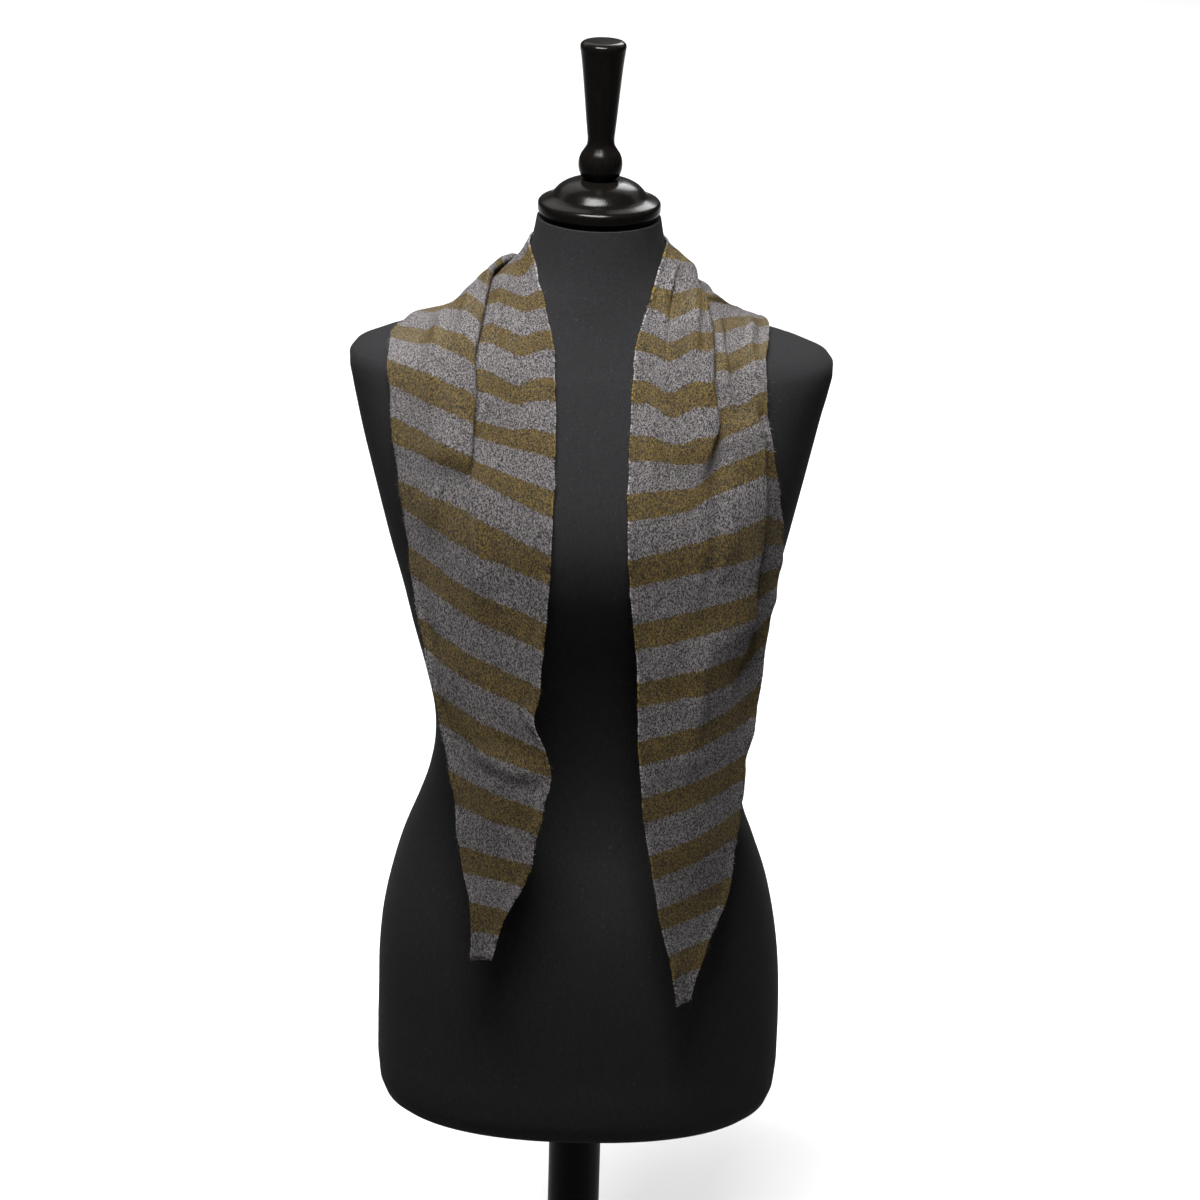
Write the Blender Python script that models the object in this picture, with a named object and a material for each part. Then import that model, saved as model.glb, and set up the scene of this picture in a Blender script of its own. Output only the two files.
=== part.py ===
"""Knitted triangle scarf draped round a limbless dress form on a stand.

Metres, +Z up, the front faces -Y.  The origin is on the floor under the middle of
the round base.  Tables and named sizes are in millimetres and are scaled by MM.
"""
import math

import bmesh
import bpy
import numpy as np
from mathutils import Vector
from mathutils.bvhtree import BVHTree

MM = 0.001

# ---------------------------------------------------------------- driving sizes (mm)
FORM_ZERO = 300.0          # where the heights in the tables count from, above the floor
PIECE_GAP = 0.3            # between pieces that touch
BASE_RADIUS = 200.0
BASE_HEIGHT = 14.0
BASE_EDGE = 4.0
POLE_RADIUS = 22.5
NECK_TOP = 774.0           # top of the jersey
PLATE_RADIUS = 46.0
PLATE_HEIGHT = 3.6

TURNED_SEGMENTS = 32
TORSO_SEGMENTS = 44

# ------------------------------------------------------------------ torso sections
# height, half width, sideways shift of the middle,
# depth in front of the pole's axis, depth behind it (mm)
TORSO_RINGS = (
    # height, half, shift, front, back
    (-9.0, 150.0, 0.0, 93.0, 101.0),
    (-5.0, 161.0, 0.0, 102.0, 112.0),
    (4.0, 168.0, 0.0, 108.5, 120.0),
    (22.0, 171.5, 0.0, 112.0, 125.0),
    (55.0, 172.5, 0.0, 113.5, 128.0),
    (90.0, 172.0, 0.0, 115.5, 130.0),
    (130.0, 170.5, -1.0, 117.0, 129.0),
    (165.0, 166.5, -2.0, 116.5, 125.0),
    (200.0, 159.0, -2.5, 113.5, 118.0),
    (235.0, 148.0, -3.5, 106.0, 108.0),
    (262.0, 138.0, -3.0, 99.0, 98.0),
    (290.0, 132.0, 0.5, 94.5, 90.0),
    (320.0, 131.0, 5.0, 93.0, 85.5),
    (350.0, 133.0, 7.0, 95.0, 85.0),
    (390.0, 138.5, 4.5, 101.5, 88.0),
    (430.0, 145.5, 1.0, 112.0, 93.0),
    (470.0, 152.5, -1.5, 126.0, 98.0),
    (505.0, 161.5, -2.0, 136.5, 102.5),
    (535.0, 168.5, -2.5, 139.5, 105.5),
    (565.0, 175.5, -3.0, 134.5, 107.0),
    (595.0, 182.5, -3.5, 122.5, 106.5),
    (620.0, 188.0, -3.5, 110.5, 104.0),
    (640.0, 192.5, -3.0, 100.0, 100.5),
    (654.0, 194.5, -3.0, 92.5, 97.0),
    (664.0, 191.0, -3.0, 87.0, 93.0),
    (670.0, 176.0, -2.5, 83.0, 89.0),
    (678.0, 149.0, -2.0, 78.5, 83.0),
    (689.0, 119.5, -1.5, 72.5, 75.5),
    (701.5, 95.0, -1.0, 66.5, 68.5),
    (716.5, 75.5, -0.5, 61.0, 62.5),
    (733.0, 61.5, 0.0, 56.0, 57.0),
    (750.0, 54.5, 0.0, 52.5, 53.0),
    (765.0, 51.0, 0.0, 50.5, 50.5),
    (774.0, 49.5, 0.0, 49.5, 49.5),
)
ROUND_ABOVE = 745.0        # the neck's sections are true circles from here up
SQUARE_BELOW = 640.0       # and the trunk's are slightly squared ovals below this
TRUNK_POWER = 2.3

# --------------------------------------------------------------------- the cloth (mm)
# A row runs from the long edge to the two outer edges, along one knitted stripe.
# Rows are counted in stripe repeats from the left tail's tip.
CLOTH_WALL = 2.0
CLOTH_CLEARANCE = 2.3      # air between the form and the cloth's underside
STRIPE_REPEAT = 55.0
LEFT_TIP = 0.4
LEFT_SEAM = 6.5            # where the left tail and the stretch round the neck meet
MIDDLE_ROW = 15.5          # runs down the middle of the back to the blunt corner
RIGHT_SEAM = 26.1
RIGHT_TIP = 30.65
BEND_RADIUS = 2.3          # of a pleat's two turns, at the middle of the wall
CLOSED_STRENGTH = 0.6      # from here up a pleat's layers lie flat on each other
LEAST_OVERLAP = 2.5        # straight length between a pleat's turns
PLEAT_SETTLES = 45.0       # length in which a pleat's top layer sinks back to the form
HANG_FROM = 535.0          # height of the bust line, where the tails leave the form
HANG_RINGS = 90
HANG_SEGMENTS = 144

# The long edge, round the neck: row, side that the knot is read from, x, and the
# height (or y, where it is read from above).
LONG_EDGE = (
    # row, side, across, along
    (0.4, "front", -71.0, 183.0),
    (1.0, "front", -62.0, 218.0),
    (2.0, "front", -43.0, 262.0),
    (3.0, "front", -34.0, 310.0),
    (4.0, "front", -32.0, 362.0),
    (5.0, "front", -37.0, 416.0),
    (6.0, "front", -34.0, 471.0),
    (7.0, "front", -31.0, 527.0),
    (8.0, "front", -30.0, 577.0),
    (9.0, "front", -30.0, 618.0),
    (10.0, "front", -31.0, 657.0),
    (11.0, "front", -34.0, 691.0),
    (12.0, "front", -42.0, 720.0),
    (13.0, "above", -51.0, -19.0),
    (13.6, "above", -53.0, 3.0),
    (14.2, "above", -42.0, 33.0),
    (15.1, "back", 0.0, 758.0),
    (16.0, "above", 42.0, 33.0),
    (16.6, "above", 53.0, 3.0),
    (17.1, "above", 51.0, -18.0),
    (18.0, "front", 42.0, 722.0),
    (19.0, "front", 33.0, 691.0),
    (20.0, "front", 30.0, 657.0),
    (21.0, "front", 29.0, 617.0),
    (22.0, "front", 29.0, 575.0),
    (23.0, "front", 31.0, 524.0),
    (24.0, "front", 37.0, 471.0),
    (25.0, "front", 41.0, 422.0),
    (26.0, "front", 43.0, 371.0),
    (27.0, "front", 47.0, 321.0),
    (28.0, "front", 56.0, 270.0),
    (29.0, "front", 64.0, 222.0),
    (30.0, "front", 74.0, 179.0),
    (30.65, "front", 80.0, 142.0),
)

# The outer edges, over the shoulders and down the back to the blunt corner.
OUTER_EDGE = (
    # row, side, across, along
    (0.4, "front", -88.0, 179.0),
    (1.0, "front", -87.0, 221.0),
    (2.0, "front", -96.0, 268.0),
    (3.0, "front", -104.0, 331.0),
    (4.0, "front", -117.0, 398.0),
    (5.0, "front", -130.0, 457.0),
    (6.0, "front", -140.0, 516.0),
    (7.0, "front", -148.0, 568.0),
    (8.0, "front", -155.0, 617.0),
    (9.0, "front", -161.0, 658.0),
    (9.5, "above", -162.0, -40.0),
    (10.0, "above", -162.0, -12.0),
    (10.5, "above", -151.0, 14.0),
    (11.0, "above", -136.0, 42.0),
    (12.0, "back", -101.0, 668.0),
    (13.0, "back", -60.0, 640.0),
    (14.0, "back", -14.0, 602.0),
    (15.0, "back", 38.0, 572.0),
    (15.5, "back", 64.0, 562.0),
    (16.0, "back", 84.0, 572.0),
    (17.0, "back", 111.0, 610.0),
    (18.0, "back", 129.0, 658.0),
    (18.5, "above", 134.0, 50.0),
    (19.0, "above", 137.0, 18.0),
    (19.5, "above", 137.0, -12.0),
    (20.0, "above", 134.0, -43.0),
    (20.5, "front", 133.0, 665.0),
    (21.0, "front", 134.0, 645.0),
    (22.0, "front", 141.0, 598.0),
    (23.0, "front", 149.0, 539.0),
    (24.0, "front", 148.0, 504.0),
    (25.0, "front", 142.0, 464.0),
    (26.0, "front", 135.0, 401.0),
    (27.0, "front", 128.0, 346.0),
    (28.0, "front", 124.0, 298.0),
    (29.0, "front", 117.0, 239.0),
    (30.0, "front", 100.0, 187.0),
    (30.65, "front", 89.0, 145.0),
)

# Knife pleats that gather the cloth at the neck's sides.  Each knot tells where one
# row reaches the visible fold from the long edge's side and where it goes on beyond
# it: the cloth hidden in between moves the stripe along the fold.  Strength 1 is
# three full layers with the outer part on top, -1 with the inner part on top.
PLEATS = (
    # one pleat crosses the left shoulder
    (
        # row, strength, overlap, side, x inside, along inside, x outside, along outside
        (6.6, 0.0, 0.0, "front", -90.0, 531.0, -90.0, 531.0),
        (7.4, 0.12, 0.0, "front", -91.0, 575.0, -91.0, 577.0),
        (8.2, 0.4, 0.0, "front", -92.0, 603.0, -92.0, 606.0),
        (9.0, 0.65, 3.0, "front", -91.0, 626.0, -92.0, 640.0),
        (9.6, 0.75, 6.0, "front", -91.0, 644.0, -91.0, 662.0),
        (10.3, 0.9, 10.0, "above", -91.0, -78.0, -88.0, -64.0),
        (11.0, 1.0, 14.0, "above", -89.0, -60.0, -84.0, -42.0),
        (12.0, 1.0, 16.0, "above", -84.0, -27.0, -74.0, -14.0),
        (12.7, 0.9, 12.0, "above", -76.0, -6.0, -70.0, 8.0),
        (13.2, 0.7, 6.0, "above", -70.0, 11.0, -67.0, 18.0),
        (13.7, 0.45, 0.0, "above", -61.0, 29.0, -60.0, 31.0),
        (14.1, 0.2, 0.0, "above", -52.0, 42.0, -52.0, 42.0),
        (14.6, 0.0, 0.0, "above", -38.0, 54.0, -38.0, 54.0),
    ),
    # another crosses the right shoulder
    (
        (15.9, 0.0, 0.0, "above", 36.0, 60.0, 36.0, 60.0),
        (16.4, -0.2, 0.0, "above", 55.0, 43.0, 55.0, 43.0),
        (16.8, -0.3, 0.0, "above", 64.0, 27.0, 64.0, 28.0),
        (17.2, -0.42, 0.0, "above", 69.0, 10.0, 69.0, 13.0),
        (17.7, -0.75, 4.0, "above", 71.0, -18.0, 75.0, -4.0),
        (18.2, -1.0, 10.0, "above", 73.0, -44.0, 76.0, -24.0),
        (19.0, -1.0, 14.0, "above", 78.0, -65.0, 82.0, -49.0),
        (19.6, -0.9, 9.0, "front", 83.0, 665.0, 88.0, 682.0),
        (20.2, -0.6, 0.0, "front", 88.0, 643.0, 93.0, 667.0),
        (20.6, -0.45, 0.0, "front", 92.0, 630.0, 96.0, 651.0),
        (21.0, -0.3, 0.0, "front", 96.0, 616.0, 99.0, 633.0),
        (21.6, -0.18, 0.0, "front", 100.0, 595.0, 102.0, 606.0),
        (22.3, -0.06, 0.0, "front", 104.0, 567.0, 104.0, 570.0),
        (22.8, 0.0, 0.0, "front", 106.0, 545.0, 106.0, 545.0),
    ),
    # the right tail's outer edge is turned under and out again
    (
        (20.2, 0.0, 0.0, "front", 126.0, 670.0, 126.0, 670.0),
        (21.0, -0.25, 0.0, "front", 128.0, 643.0, 129.0, 646.0),
        (21.3, -0.42, 0.0, "front", 128.0, 631.0, 129.0, 635.0),
        (21.6, -0.6, 0.0, "front", 129.0, 620.0, 130.0, 624.0),
        (22.3, -0.9, 5.0, "front", 127.0, 589.0, 129.0, 596.0),
        (23.0, -1.0, 7.0, "front", 126.0, 547.0, 129.0, 556.0),
        (23.7, -0.8, 3.0, "front", 125.0, 505.0, 127.0, 517.0),
        (24.3, -0.4, 0.0, "front", 126.0, 475.0, 127.0, 481.0),
        (25.0, -0.2, 0.0, "front", 126.0, 441.0, 126.0, 448.0),
        (26.0, 0.0, 0.0, "front", 123.0, 396.0, 123.0, 396.0),
    ),
)

# Soft folds: first and last row, share of the row's length at each, width, height.
SOFT_FOLDS = (
    # first, last, share at first, share at last, width, lift, slide
    # left: the heap of cloth on the shoulder beside the neck, and a dip inside it
    (11.0, 14.6, 0.48, 0.02, 52.0, 4.0, 0.0),
    (8.4, 14.0, 0.30, 0.06, 34.0, 0.0, 13.0),
    # right: a roll beside the neck, the trough below it, a ridge and an outer trough
    (15.8, 18.4, 0.05, 0.05, 22.0, 5.0, 0.0),
    (16.9, 22.0, 0.06, 0.40, 26.0, -4.0, 12.0),
    (18.0, 21.4, 0.32, 0.86, 20.0, 3.5, -3.0),
    (17.8, 21.6, 0.32, 0.95, 18.0, -3.0, 7.0),
    # back: soft folds that spread from the neck over the shoulder blades
    (12.0, 14.4, 0.92, 0.92, 60.0, 3.0, 0.0),
    (16.2, 18.9, 0.80, 0.85, 70.0, 2.5, 0.0),
    (12.6, 14.9, 0.50, 0.25, 34.0, 6.0, 3.0),
    (13.8, 15.7, 0.35, 0.75, 40.0, 5.0, 0.0),
    (15.3, 17.2, 0.75, 0.30, 36.0, 6.0, 0.0),
    (16.3, 18.4, 0.25, 0.50, 40.0, 4.0, 2.0),
    # the tails: shallow waves where they hang free
    (1.6, 8.5, 0.55, 0.50, 44.0, 4.0, 0.0),
    (23.0, 29.5, 0.35, 0.50, 46.0, 4.0, 0.0),
)

TURN_STATIONS = 3          # in each bend of a pleat
SLOPE_STEP = 0.08          # rows to each side between which the wall's slope is read
TAUT_ROWS_A_REPEAT = 4
TAUT_POINTS = 14
TAUT_PASSES = 12
FIRST_BULGE = 0.35         # of a row's first guess, as a share of its span
SEARCH_REACH = 1.2         # rows to each side that are searched for a pleat's knot
SEARCH_ROWS = 49
LEAST_APART = 0.4          # even spaces between an even row and a pleat's knot
OPENS_LATE = 3             # power with which an opening pleat spreads evenly
FADE_PART = 0.3            # part of a soft fold's length over which each end fades
LIFT_SOFTNESS = 0.5        # mm; soft folds never press the cloth into the form
ABOVE_ALL = 3.0            # m; height that knots read from above are cast from


# ------------------------------------------------------------------- small mathematics
def smoothstep(value):
    value = min(max(value, 0.0), 1.0)
    return value * value * (3.0 - 2.0 * value)


def spline(knots, values, at):
    """Smooth curve through values (one row per knot), read at one or more places."""
    knots = np.asarray(knots, float)
    values = np.asarray(values, float)
    slopes = np.gradient(values, knots, axis=0)
    at = np.clip(np.atleast_1d(at), knots[0], knots[-1])
    cell = np.clip(np.searchsorted(knots, at, side="right") - 1, 0, len(knots) - 2)
    width = knots[cell + 1] - knots[cell]
    part = (at - knots[cell]) / width
    if values.ndim > 1:
        part, width = part[:, None], width[:, None]
    start, end = values[cell], values[cell + 1]
    low, high = slopes[cell] * width, slopes[cell + 1] * width
    return (start * (1 + 2 * part) * (1 - part) ** 2 + low * part * (1 - part) ** 2
            + end * part ** 2 * (3 - 2 * part) - high * part ** 2 * (1 - part))


# --------------------------------------------------------------------------- the form
def torso_sizes(height):
    """Half width, shift, front depth, back depth and squareness of one section."""
    table = np.array(TORSO_RINGS)
    half, shift, front, back = spline(table[:, 0], table[:, 1:], height)[0]
    squared = smoothstep((ROUND_ABOVE - height) / (ROUND_ABOVE - SQUARE_BELOW))
    return half, shift, front, back, 2.0 + (TRUNK_POWER - 2.0) * squared


def torso_radius(height, angle):
    """Distance from the section's middle, at an angle from the front towards +X."""
    half, shift, front, back, power = torso_sizes(height)
    depth = front if math.cos(angle) > 0.0 else back
    across = abs(math.sin(angle) / half) ** power
    along = abs(math.cos(angle) / depth) ** power
    return (across + along) ** (-1.0 / power)


def ring_point(radius, angle, shift, height):
    x = shift + radius * math.sin(angle)
    y = -radius * math.cos(angle)
    return Vector((x * MM, y * MM, (FORM_ZERO + height) * MM))


class HangSurface:
    """The form with every hollow under its chest filled: cloth lies on it, then hangs."""

    def __init__(self):
        self.heights = np.linspace(NECK_TOP, 60.0, HANG_RINGS)
        self.step = 2.0 * math.pi / HANG_SEGMENTS
        reach = [0.0] * HANG_SEGMENTS
        self.points = []
        for height in self.heights:
            shift = torso_sizes(max(height, HANG_FROM))[1]
            here = [torso_radius(height, self.step * k) for k in range(HANG_SEGMENTS)]
            reach = [max(old, new) for old, new in zip(reach, here)]
            self.points.append([ring_point(radius, self.step * k, shift, height)
                                for k, radius in enumerate(reach)])
        flat = [point for ring in self.points for point in ring]
        count = HANG_SEGMENTS
        faces = [(i * count + k, i * count + (k + 1) % count,
                  (i + 1) * count + (k + 1) % count, (i + 1) * count + k)
                 for i in range(HANG_RINGS - 1) for k in range(count)]
        self.tree = BVHTree.FromPolygons(flat, faces)
        grid = np.array([[tuple(point) for point in ring] for ring in self.points])
        down = np.gradient(grid, axis=0)
        around = (np.roll(grid, -1, axis=1) - np.roll(grid, 1, axis=1)) * 0.5
        normals = np.cross(down, around)
        self.normals = normals / np.linalg.norm(normals, axis=2, keepdims=True)

    def nearest(self, point):
        return self.tree.find_nearest(point)[0]

    def normal(self, point):
        """Smooth outward direction at a point that lies on the surface."""
        height = point.z / MM - FORM_ZERO
        row = (self.heights[0] - height) / (self.heights[0] - self.heights[1])
        row = min(max(row, 0.0), HANG_RINGS - 1.001)
        column = (math.atan2(point.x, -point.y) / self.step) % HANG_SEGMENTS
        i, k = int(row), int(column)
        down, side = row - i, column - k
        following = (k + 1) % HANG_SEGMENTS
        upper = self.normals[i, k] * (1 - side) + self.normals[i, following] * side
        lower = self.normals[i + 1, k] * (1 - side) + self.normals[i + 1, following] * side
        return Vector(upper * (1 - down) + lower * down).normalized()

    def seen(self, side, across, along):
        """Point seen from the front or back (x, height) or from above (x, y)."""
        if side == "above":
            start, way = (across * MM, along * MM, ABOVE_ALL), (0.0, 0.0, -1.0)
        else:
            sign = -1.0 if side == "front" else 1.0
            start = (across * MM, sign, (FORM_ZERO + along) * MM)
            way = (0.0, -sign, 0.0)
        return self.tree.ray_cast(Vector(start), Vector(way))[0]


# -------------------------------------------------------------------------- the cloth
def laid_edge(surface, knots):
    """Rows and points of an edge whose knots are laid on the hang surface."""
    rows = [knot[0] for knot in knots]
    points = [tuple(surface.seen(*knot[1:])) for knot in knots]
    return rows, points


def taut_row(surface, start, end):
    """Shortest way over the surface from one point to another, as a list of points."""
    push = surface.normal(start) + surface.normal(end)
    push = push.normalized() * (end - start).length * FIRST_BULGE
    line = []
    for k in range(TAUT_POINTS):
        part = k / (TAUT_POINTS - 1)
        raised = start.lerp(end, part) + push * math.sin(math.pi * part)
        line.append(surface.nearest(raised))
    line[0], line[-1] = start, end
    for _ in range(TAUT_PASSES):
        for k in range(1, TAUT_POINTS - 1):
            line[k] = surface.nearest((line[k - 1] + line[k + 1]) * 0.5)
    return line


def pleat_path(strength, overlap, turn_stations):
    """Section of a knife pleat in mm: (along the row, lift) from its visible fold."""
    amount = min(abs(strength), 1.0)
    turn = math.pi * smoothstep(amount / CLOSED_STRENGTH)
    r = BEND_RADIUS
    steps = [turn * k / turn_stations for k in range(turn_stations + 1)]
    path = [(r * math.sin(a), r * (1.0 - math.cos(a))) for a in steps]
    x, lift = path[-1]
    x, lift = x + overlap * math.cos(turn), lift + overlap * math.sin(turn)
    path.append((0.5 * (x + path[-1][0]), 0.5 * (lift + path[-1][1])))
    centre = (x + r * math.sin(turn), lift - r * math.cos(turn))
    path += [(centre[0] - r * math.sin(turn - a), centre[1] + r * math.cos(turn - a))
             for a in steps]
    edge = min(point[0] for point in path)
    path = [(x - edge, lift) for x, lift in path]
    if strength < 0.0:
        path = [(-x, lift) for x, lift in reversed(path)]
    return path


def reach_of(line):
    """Length in mm from a line's start to each of its points."""
    steps = [(b - a).length / MM for a, b in zip(line, line[1:])]
    return np.cumsum([0.0] + steps)


def evenly(line):
    """The same line with its points evenly spaced, as tuples."""
    reach = reach_of(line)
    places = np.linspace(0.0, reach[-1], TAUT_POINTS)
    return [tuple(np.interp(place, reach, [point[axis] for point in line])
                  for axis in range(3)) for place in places]


def soft_fold(row, along, length):
    """Lift and slide in mm that the soft folds give one place of a row."""
    lift, slide = 0.0, 0.0
    for first, last, share_first, share_last, width, height, shift in SOFT_FOLDS:
        if first < row < last:
            part = (row - first) / (last - first)
            centre = length * (share_first + (share_last - share_first) * part)
            bump = math.exp(-((along - centre) / (0.5 * width)) ** 2)
            bump *= smoothstep(min(part, 1.0 - part) / FADE_PART)
            lift += height * bump
            slide += shift * bump
    raised_only = 0.5 * (lift + math.hypot(lift, LIFT_SOFTNESS) - LIFT_SOFTNESS)
    return raised_only, slide


def flat_section(length, paths, panel_stations):
    """Stations of a row before it is folded softly: along, lift, row shift, the number
    of their panel (or, half a number on, of the pleat after it), part of the pleat."""
    section, start = [], 0.0
    for index, count in enumerate(panel_stations):
        last = index == len(paths)
        end = length if last else paths[index][0][0]
        skipped = 0 if index == 0 else 1
        cells = count + skipped - (1 if last else 0)
        for k in range(count):
            along = start + (end - start) * (k + skipped) / cells
            section.append([along, 0.0, 0.0, index, 0.0])
        if not last:
            path = paths[index]
            steps = [0.0] + [math.dist(a, b) for a, b in zip(path, path[1:])]
            section += [[x, lift, 0.0, index + 0.5, part]
                        for (x, lift), part in zip(path, np.cumsum(steps) / sum(steps))]
            start = path[-1][0]
    return section


def lay_beside_pleat(section, index, length, path, strength, overlap, shifts):
    """Raise the cloth that lies on a pleat, and shift the rows on both of its sides."""
    inside, outside = shifts
    top = max(lift for _, lift in path)
    first, last = path[0][0], path[-1][0]
    for station in section:
        along, _, _, place, part = station
        past = None
        if place < index + 0.5:
            station[2] += inside * along / first
            if strength < 0.0:
                past = first - along
        elif place > index + 0.5:
            station[2] += outside * (length - along) / (length - last)
            if strength > 0.0:
                past = along - last
        else:
            station[2] += inside + (outside - inside) * part
        if past is not None:
            past -= overlap + 2.0 * BEND_RADIUS
            station[1] += top * smoothstep(1.0 - past / PLEAT_SETTLES)


class Drape:
    """The scarf's middle surface: rows laid over the hang surface, pleated and folded."""

    def __init__(self, surface):
        self.surface = surface
        self.long_edge = laid_edge(surface, LONG_EDGE)
        self.outer_edge = laid_edge(surface, OUTER_EDGE)
        count = int(round((RIGHT_TIP - LEFT_TIP) * TAUT_ROWS_A_REPEAT)) + 1
        self.taut_rows = np.linspace(LEFT_TIP, RIGHT_TIP, count)
        lines = [self.taut(row) for row in self.taut_rows]
        self.lengths = np.array([reach_of(line)[-1] for line in lines])
        self.lines = np.array([evenly(line) for line in lines])
        self.pleats = [self.measured_pleat(table) for table in PLEATS]

    def on_edge(self, edge, row):
        rows, points = edge
        return self.surface.nearest(Vector(spline(rows, points, row)[0]))

    def taut(self, row):
        return taut_row(self.surface, self.on_edge(self.long_edge, row),
                        self.on_edge(self.outer_edge, row))

    def length(self, rows):
        return np.interp(rows, self.taut_rows, self.lengths)

    def spots(self, rows, shares):
        """Points of the hang surface at shares of the length of rows."""
        flat = spline(self.taut_rows, self.lines.reshape(len(self.lines), -1), rows)
        lines = flat.reshape(-1, TAUT_POINTS, 3)
        places = np.clip(shares, 0.0, 1.0) * (TAUT_POINTS - 1)
        cells = np.clip(places.astype(int), 0, TAUT_POINTS - 2)
        parts = (places - cells)[:, None]
        each = np.arange(len(lines))
        points = lines[each, cells] * (1.0 - parts) + lines[each, cells + 1] * parts
        return [self.surface.nearest(Vector(point)) for point in points]

    def row_at(self, point, row):
        """The row, near another, that passes through a point, and the share there."""
        rows = np.linspace(row - SEARCH_REACH, row + SEARCH_REACH, SEARCH_ROWS)
        rows = rows[(rows >= LEFT_TIP) & (rows <= RIGHT_TIP)]
        flat = spline(self.taut_rows, self.lines.reshape(len(self.lines), -1), rows)
        lines = flat.reshape(-1, TAUT_POINTS, 3)
        best = None
        for here, line in zip(rows, lines):
            starts, steps = line[:-1], np.diff(line, axis=0)
            parts = np.sum((np.array(point) - starts) * steps, axis=1)
            parts = np.clip(parts / np.sum(steps * steps, axis=1), 0.0, 1.0)
            gaps = np.linalg.norm(starts + steps * parts[:, None] - np.array(point), axis=1)
            k = int(np.argmin(gaps))
            if best is None or gaps[k] < best[0]:
                best = gaps[k], here, (k + parts[k]) / (TAUT_POINTS - 1)
        return best[1], best[2]

    def measured_pleat(self, table):
        """A pleat's rows, and its share, strength, overlap and two row shifts on each."""
        values = []
        for row, strength, overlap, side, x_in, along_in, x_out, along_out in table:
            inside = self.row_at(self.surface.seen(side, x_in, along_in), row)
            outside = self.row_at(self.surface.seen(side, x_out, along_out), row)
            share = 0.5 * (inside[1] + outside[1])
            shifts = (inside[0] - row, outside[0] - row) if strength else (0.0, 0.0)
            values.append((share, strength, overlap, *shifts))
        return [knot[0] for knot in table], values

    def pleat(self, index, row):
        rows, values = self.pleats[index]
        share, strength, overlap, inside, outside = spline(rows, values, row)[0]
        if not rows[0] < row < rows[-1]:
            return share, 0.0, LEAST_OVERLAP, 0.0, 0.0
        return share, strength, max(overlap, LEAST_OVERLAP), inside, outside

    def fold_share(self, index, row, even):
        """Share of a row at a pleat's visible fold: spread evenly where it is open."""
        share, strength = self.pleat(index, row)[:2]
        opened = 1.0 - smoothstep(abs(strength) / CLOSED_STRENGTH)
        return share + (even - share) * opened ** OPENS_LATE, opened

    def fold_shares(self, pleats, evens, row):
        """Shares of a row at its start, its visible folds and its end."""
        shares = [self.fold_share(pleat, row, even)[0] for pleat, even in zip(pleats, evens)]
        return [0.0] + shares + [1.0]

    def laid_pleats(self, row, pleats, panel_stations, turn_stations):
        """For each pleat of a row: even share, path, strength, overlap and row shifts."""
        length = float(self.length(row))
        turned_in = 2 * turn_stations + 3
        total = sum(panel_stations) + len(pleats) * turned_in
        middle = 0.5 * (turned_in - 1)
        laid, before = [], 0
        for pleat, count in zip(pleats, panel_stations):
            even = (before + count + middle) / (total - 1)
            before += count + turned_in
            _, strength, overlap, *shifts = self.pleat(pleat, row)
            share, opened = self.fold_share(pleat, row, even)
            spread = opened * length / (total - 1)
            path = [(share * length + x + spread * (k - middle), lift) for k, (x, lift)
                    in enumerate(pleat_path(strength, overlap, turn_stations))]
            laid.append((even, path, strength, overlap, shifts))
        return laid

    def stations(self, row, pleats, panel_stations, turn_stations):
        """Section of one row: (share of its length, lift in mm, laid row), in order."""
        length = float(self.length(row))
        laid_pleats = self.laid_pleats(row, pleats, panel_stations, turn_stations)
        section = flat_section(length, [laid[1] for laid in laid_pleats], panel_stations)
        for index, (_, *pleat) in enumerate(laid_pleats):
            lay_beside_pleat(section, index, length, *pleat)
        evens = [laid[0] for laid in laid_pleats]
        knots = self.fold_shares(pleats, evens, row)
        finished = []
        for along, lift, shift, *_ in section:
            laid, share = row + shift, along / length
            if shift:
                share = float(np.interp(share, knots, self.fold_shares(pleats, evens, laid)))
            fold_lift, slide = soft_fold(laid, share * length, length)
            laid += self.tipward(row) * slide / STRIPE_REPEAT
            finished.append((share, lift + fold_lift, laid))
        return finished

    def tipward(self, row):
        return -1.0 if row < MIDDLE_ROW else 1.0

    def row(self, row, pleats, panel_stations, turn_stations):
        """Points of one row on the wall's middle."""
        section = np.array(self.stations(row, pleats, panel_stations, turn_stations))
        spots = self.spots(section[:, 2], section[:, 0])
        lifts = CLOTH_CLEARANCE + 0.5 * CLOTH_WALL + section[:, 1]
        return [spot + self.surface.normal(spot) * float(lift) * MM
                for spot, lift in zip(spots, lifts)]


def cloth_grid(drape, rows, pleats, panel_stations, turn_stations):
    grid = [drape.row(row, pleats, panel_stations, turn_stations) for row in rows]
    return np.array([[tuple(point) for point in line] for line in grid])


def grid_normals(grid, along_rows):
    normals = np.cross(along_rows, np.gradient(grid, axis=1))
    return normals / np.linalg.norm(normals, axis=2, keepdims=True)


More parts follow.
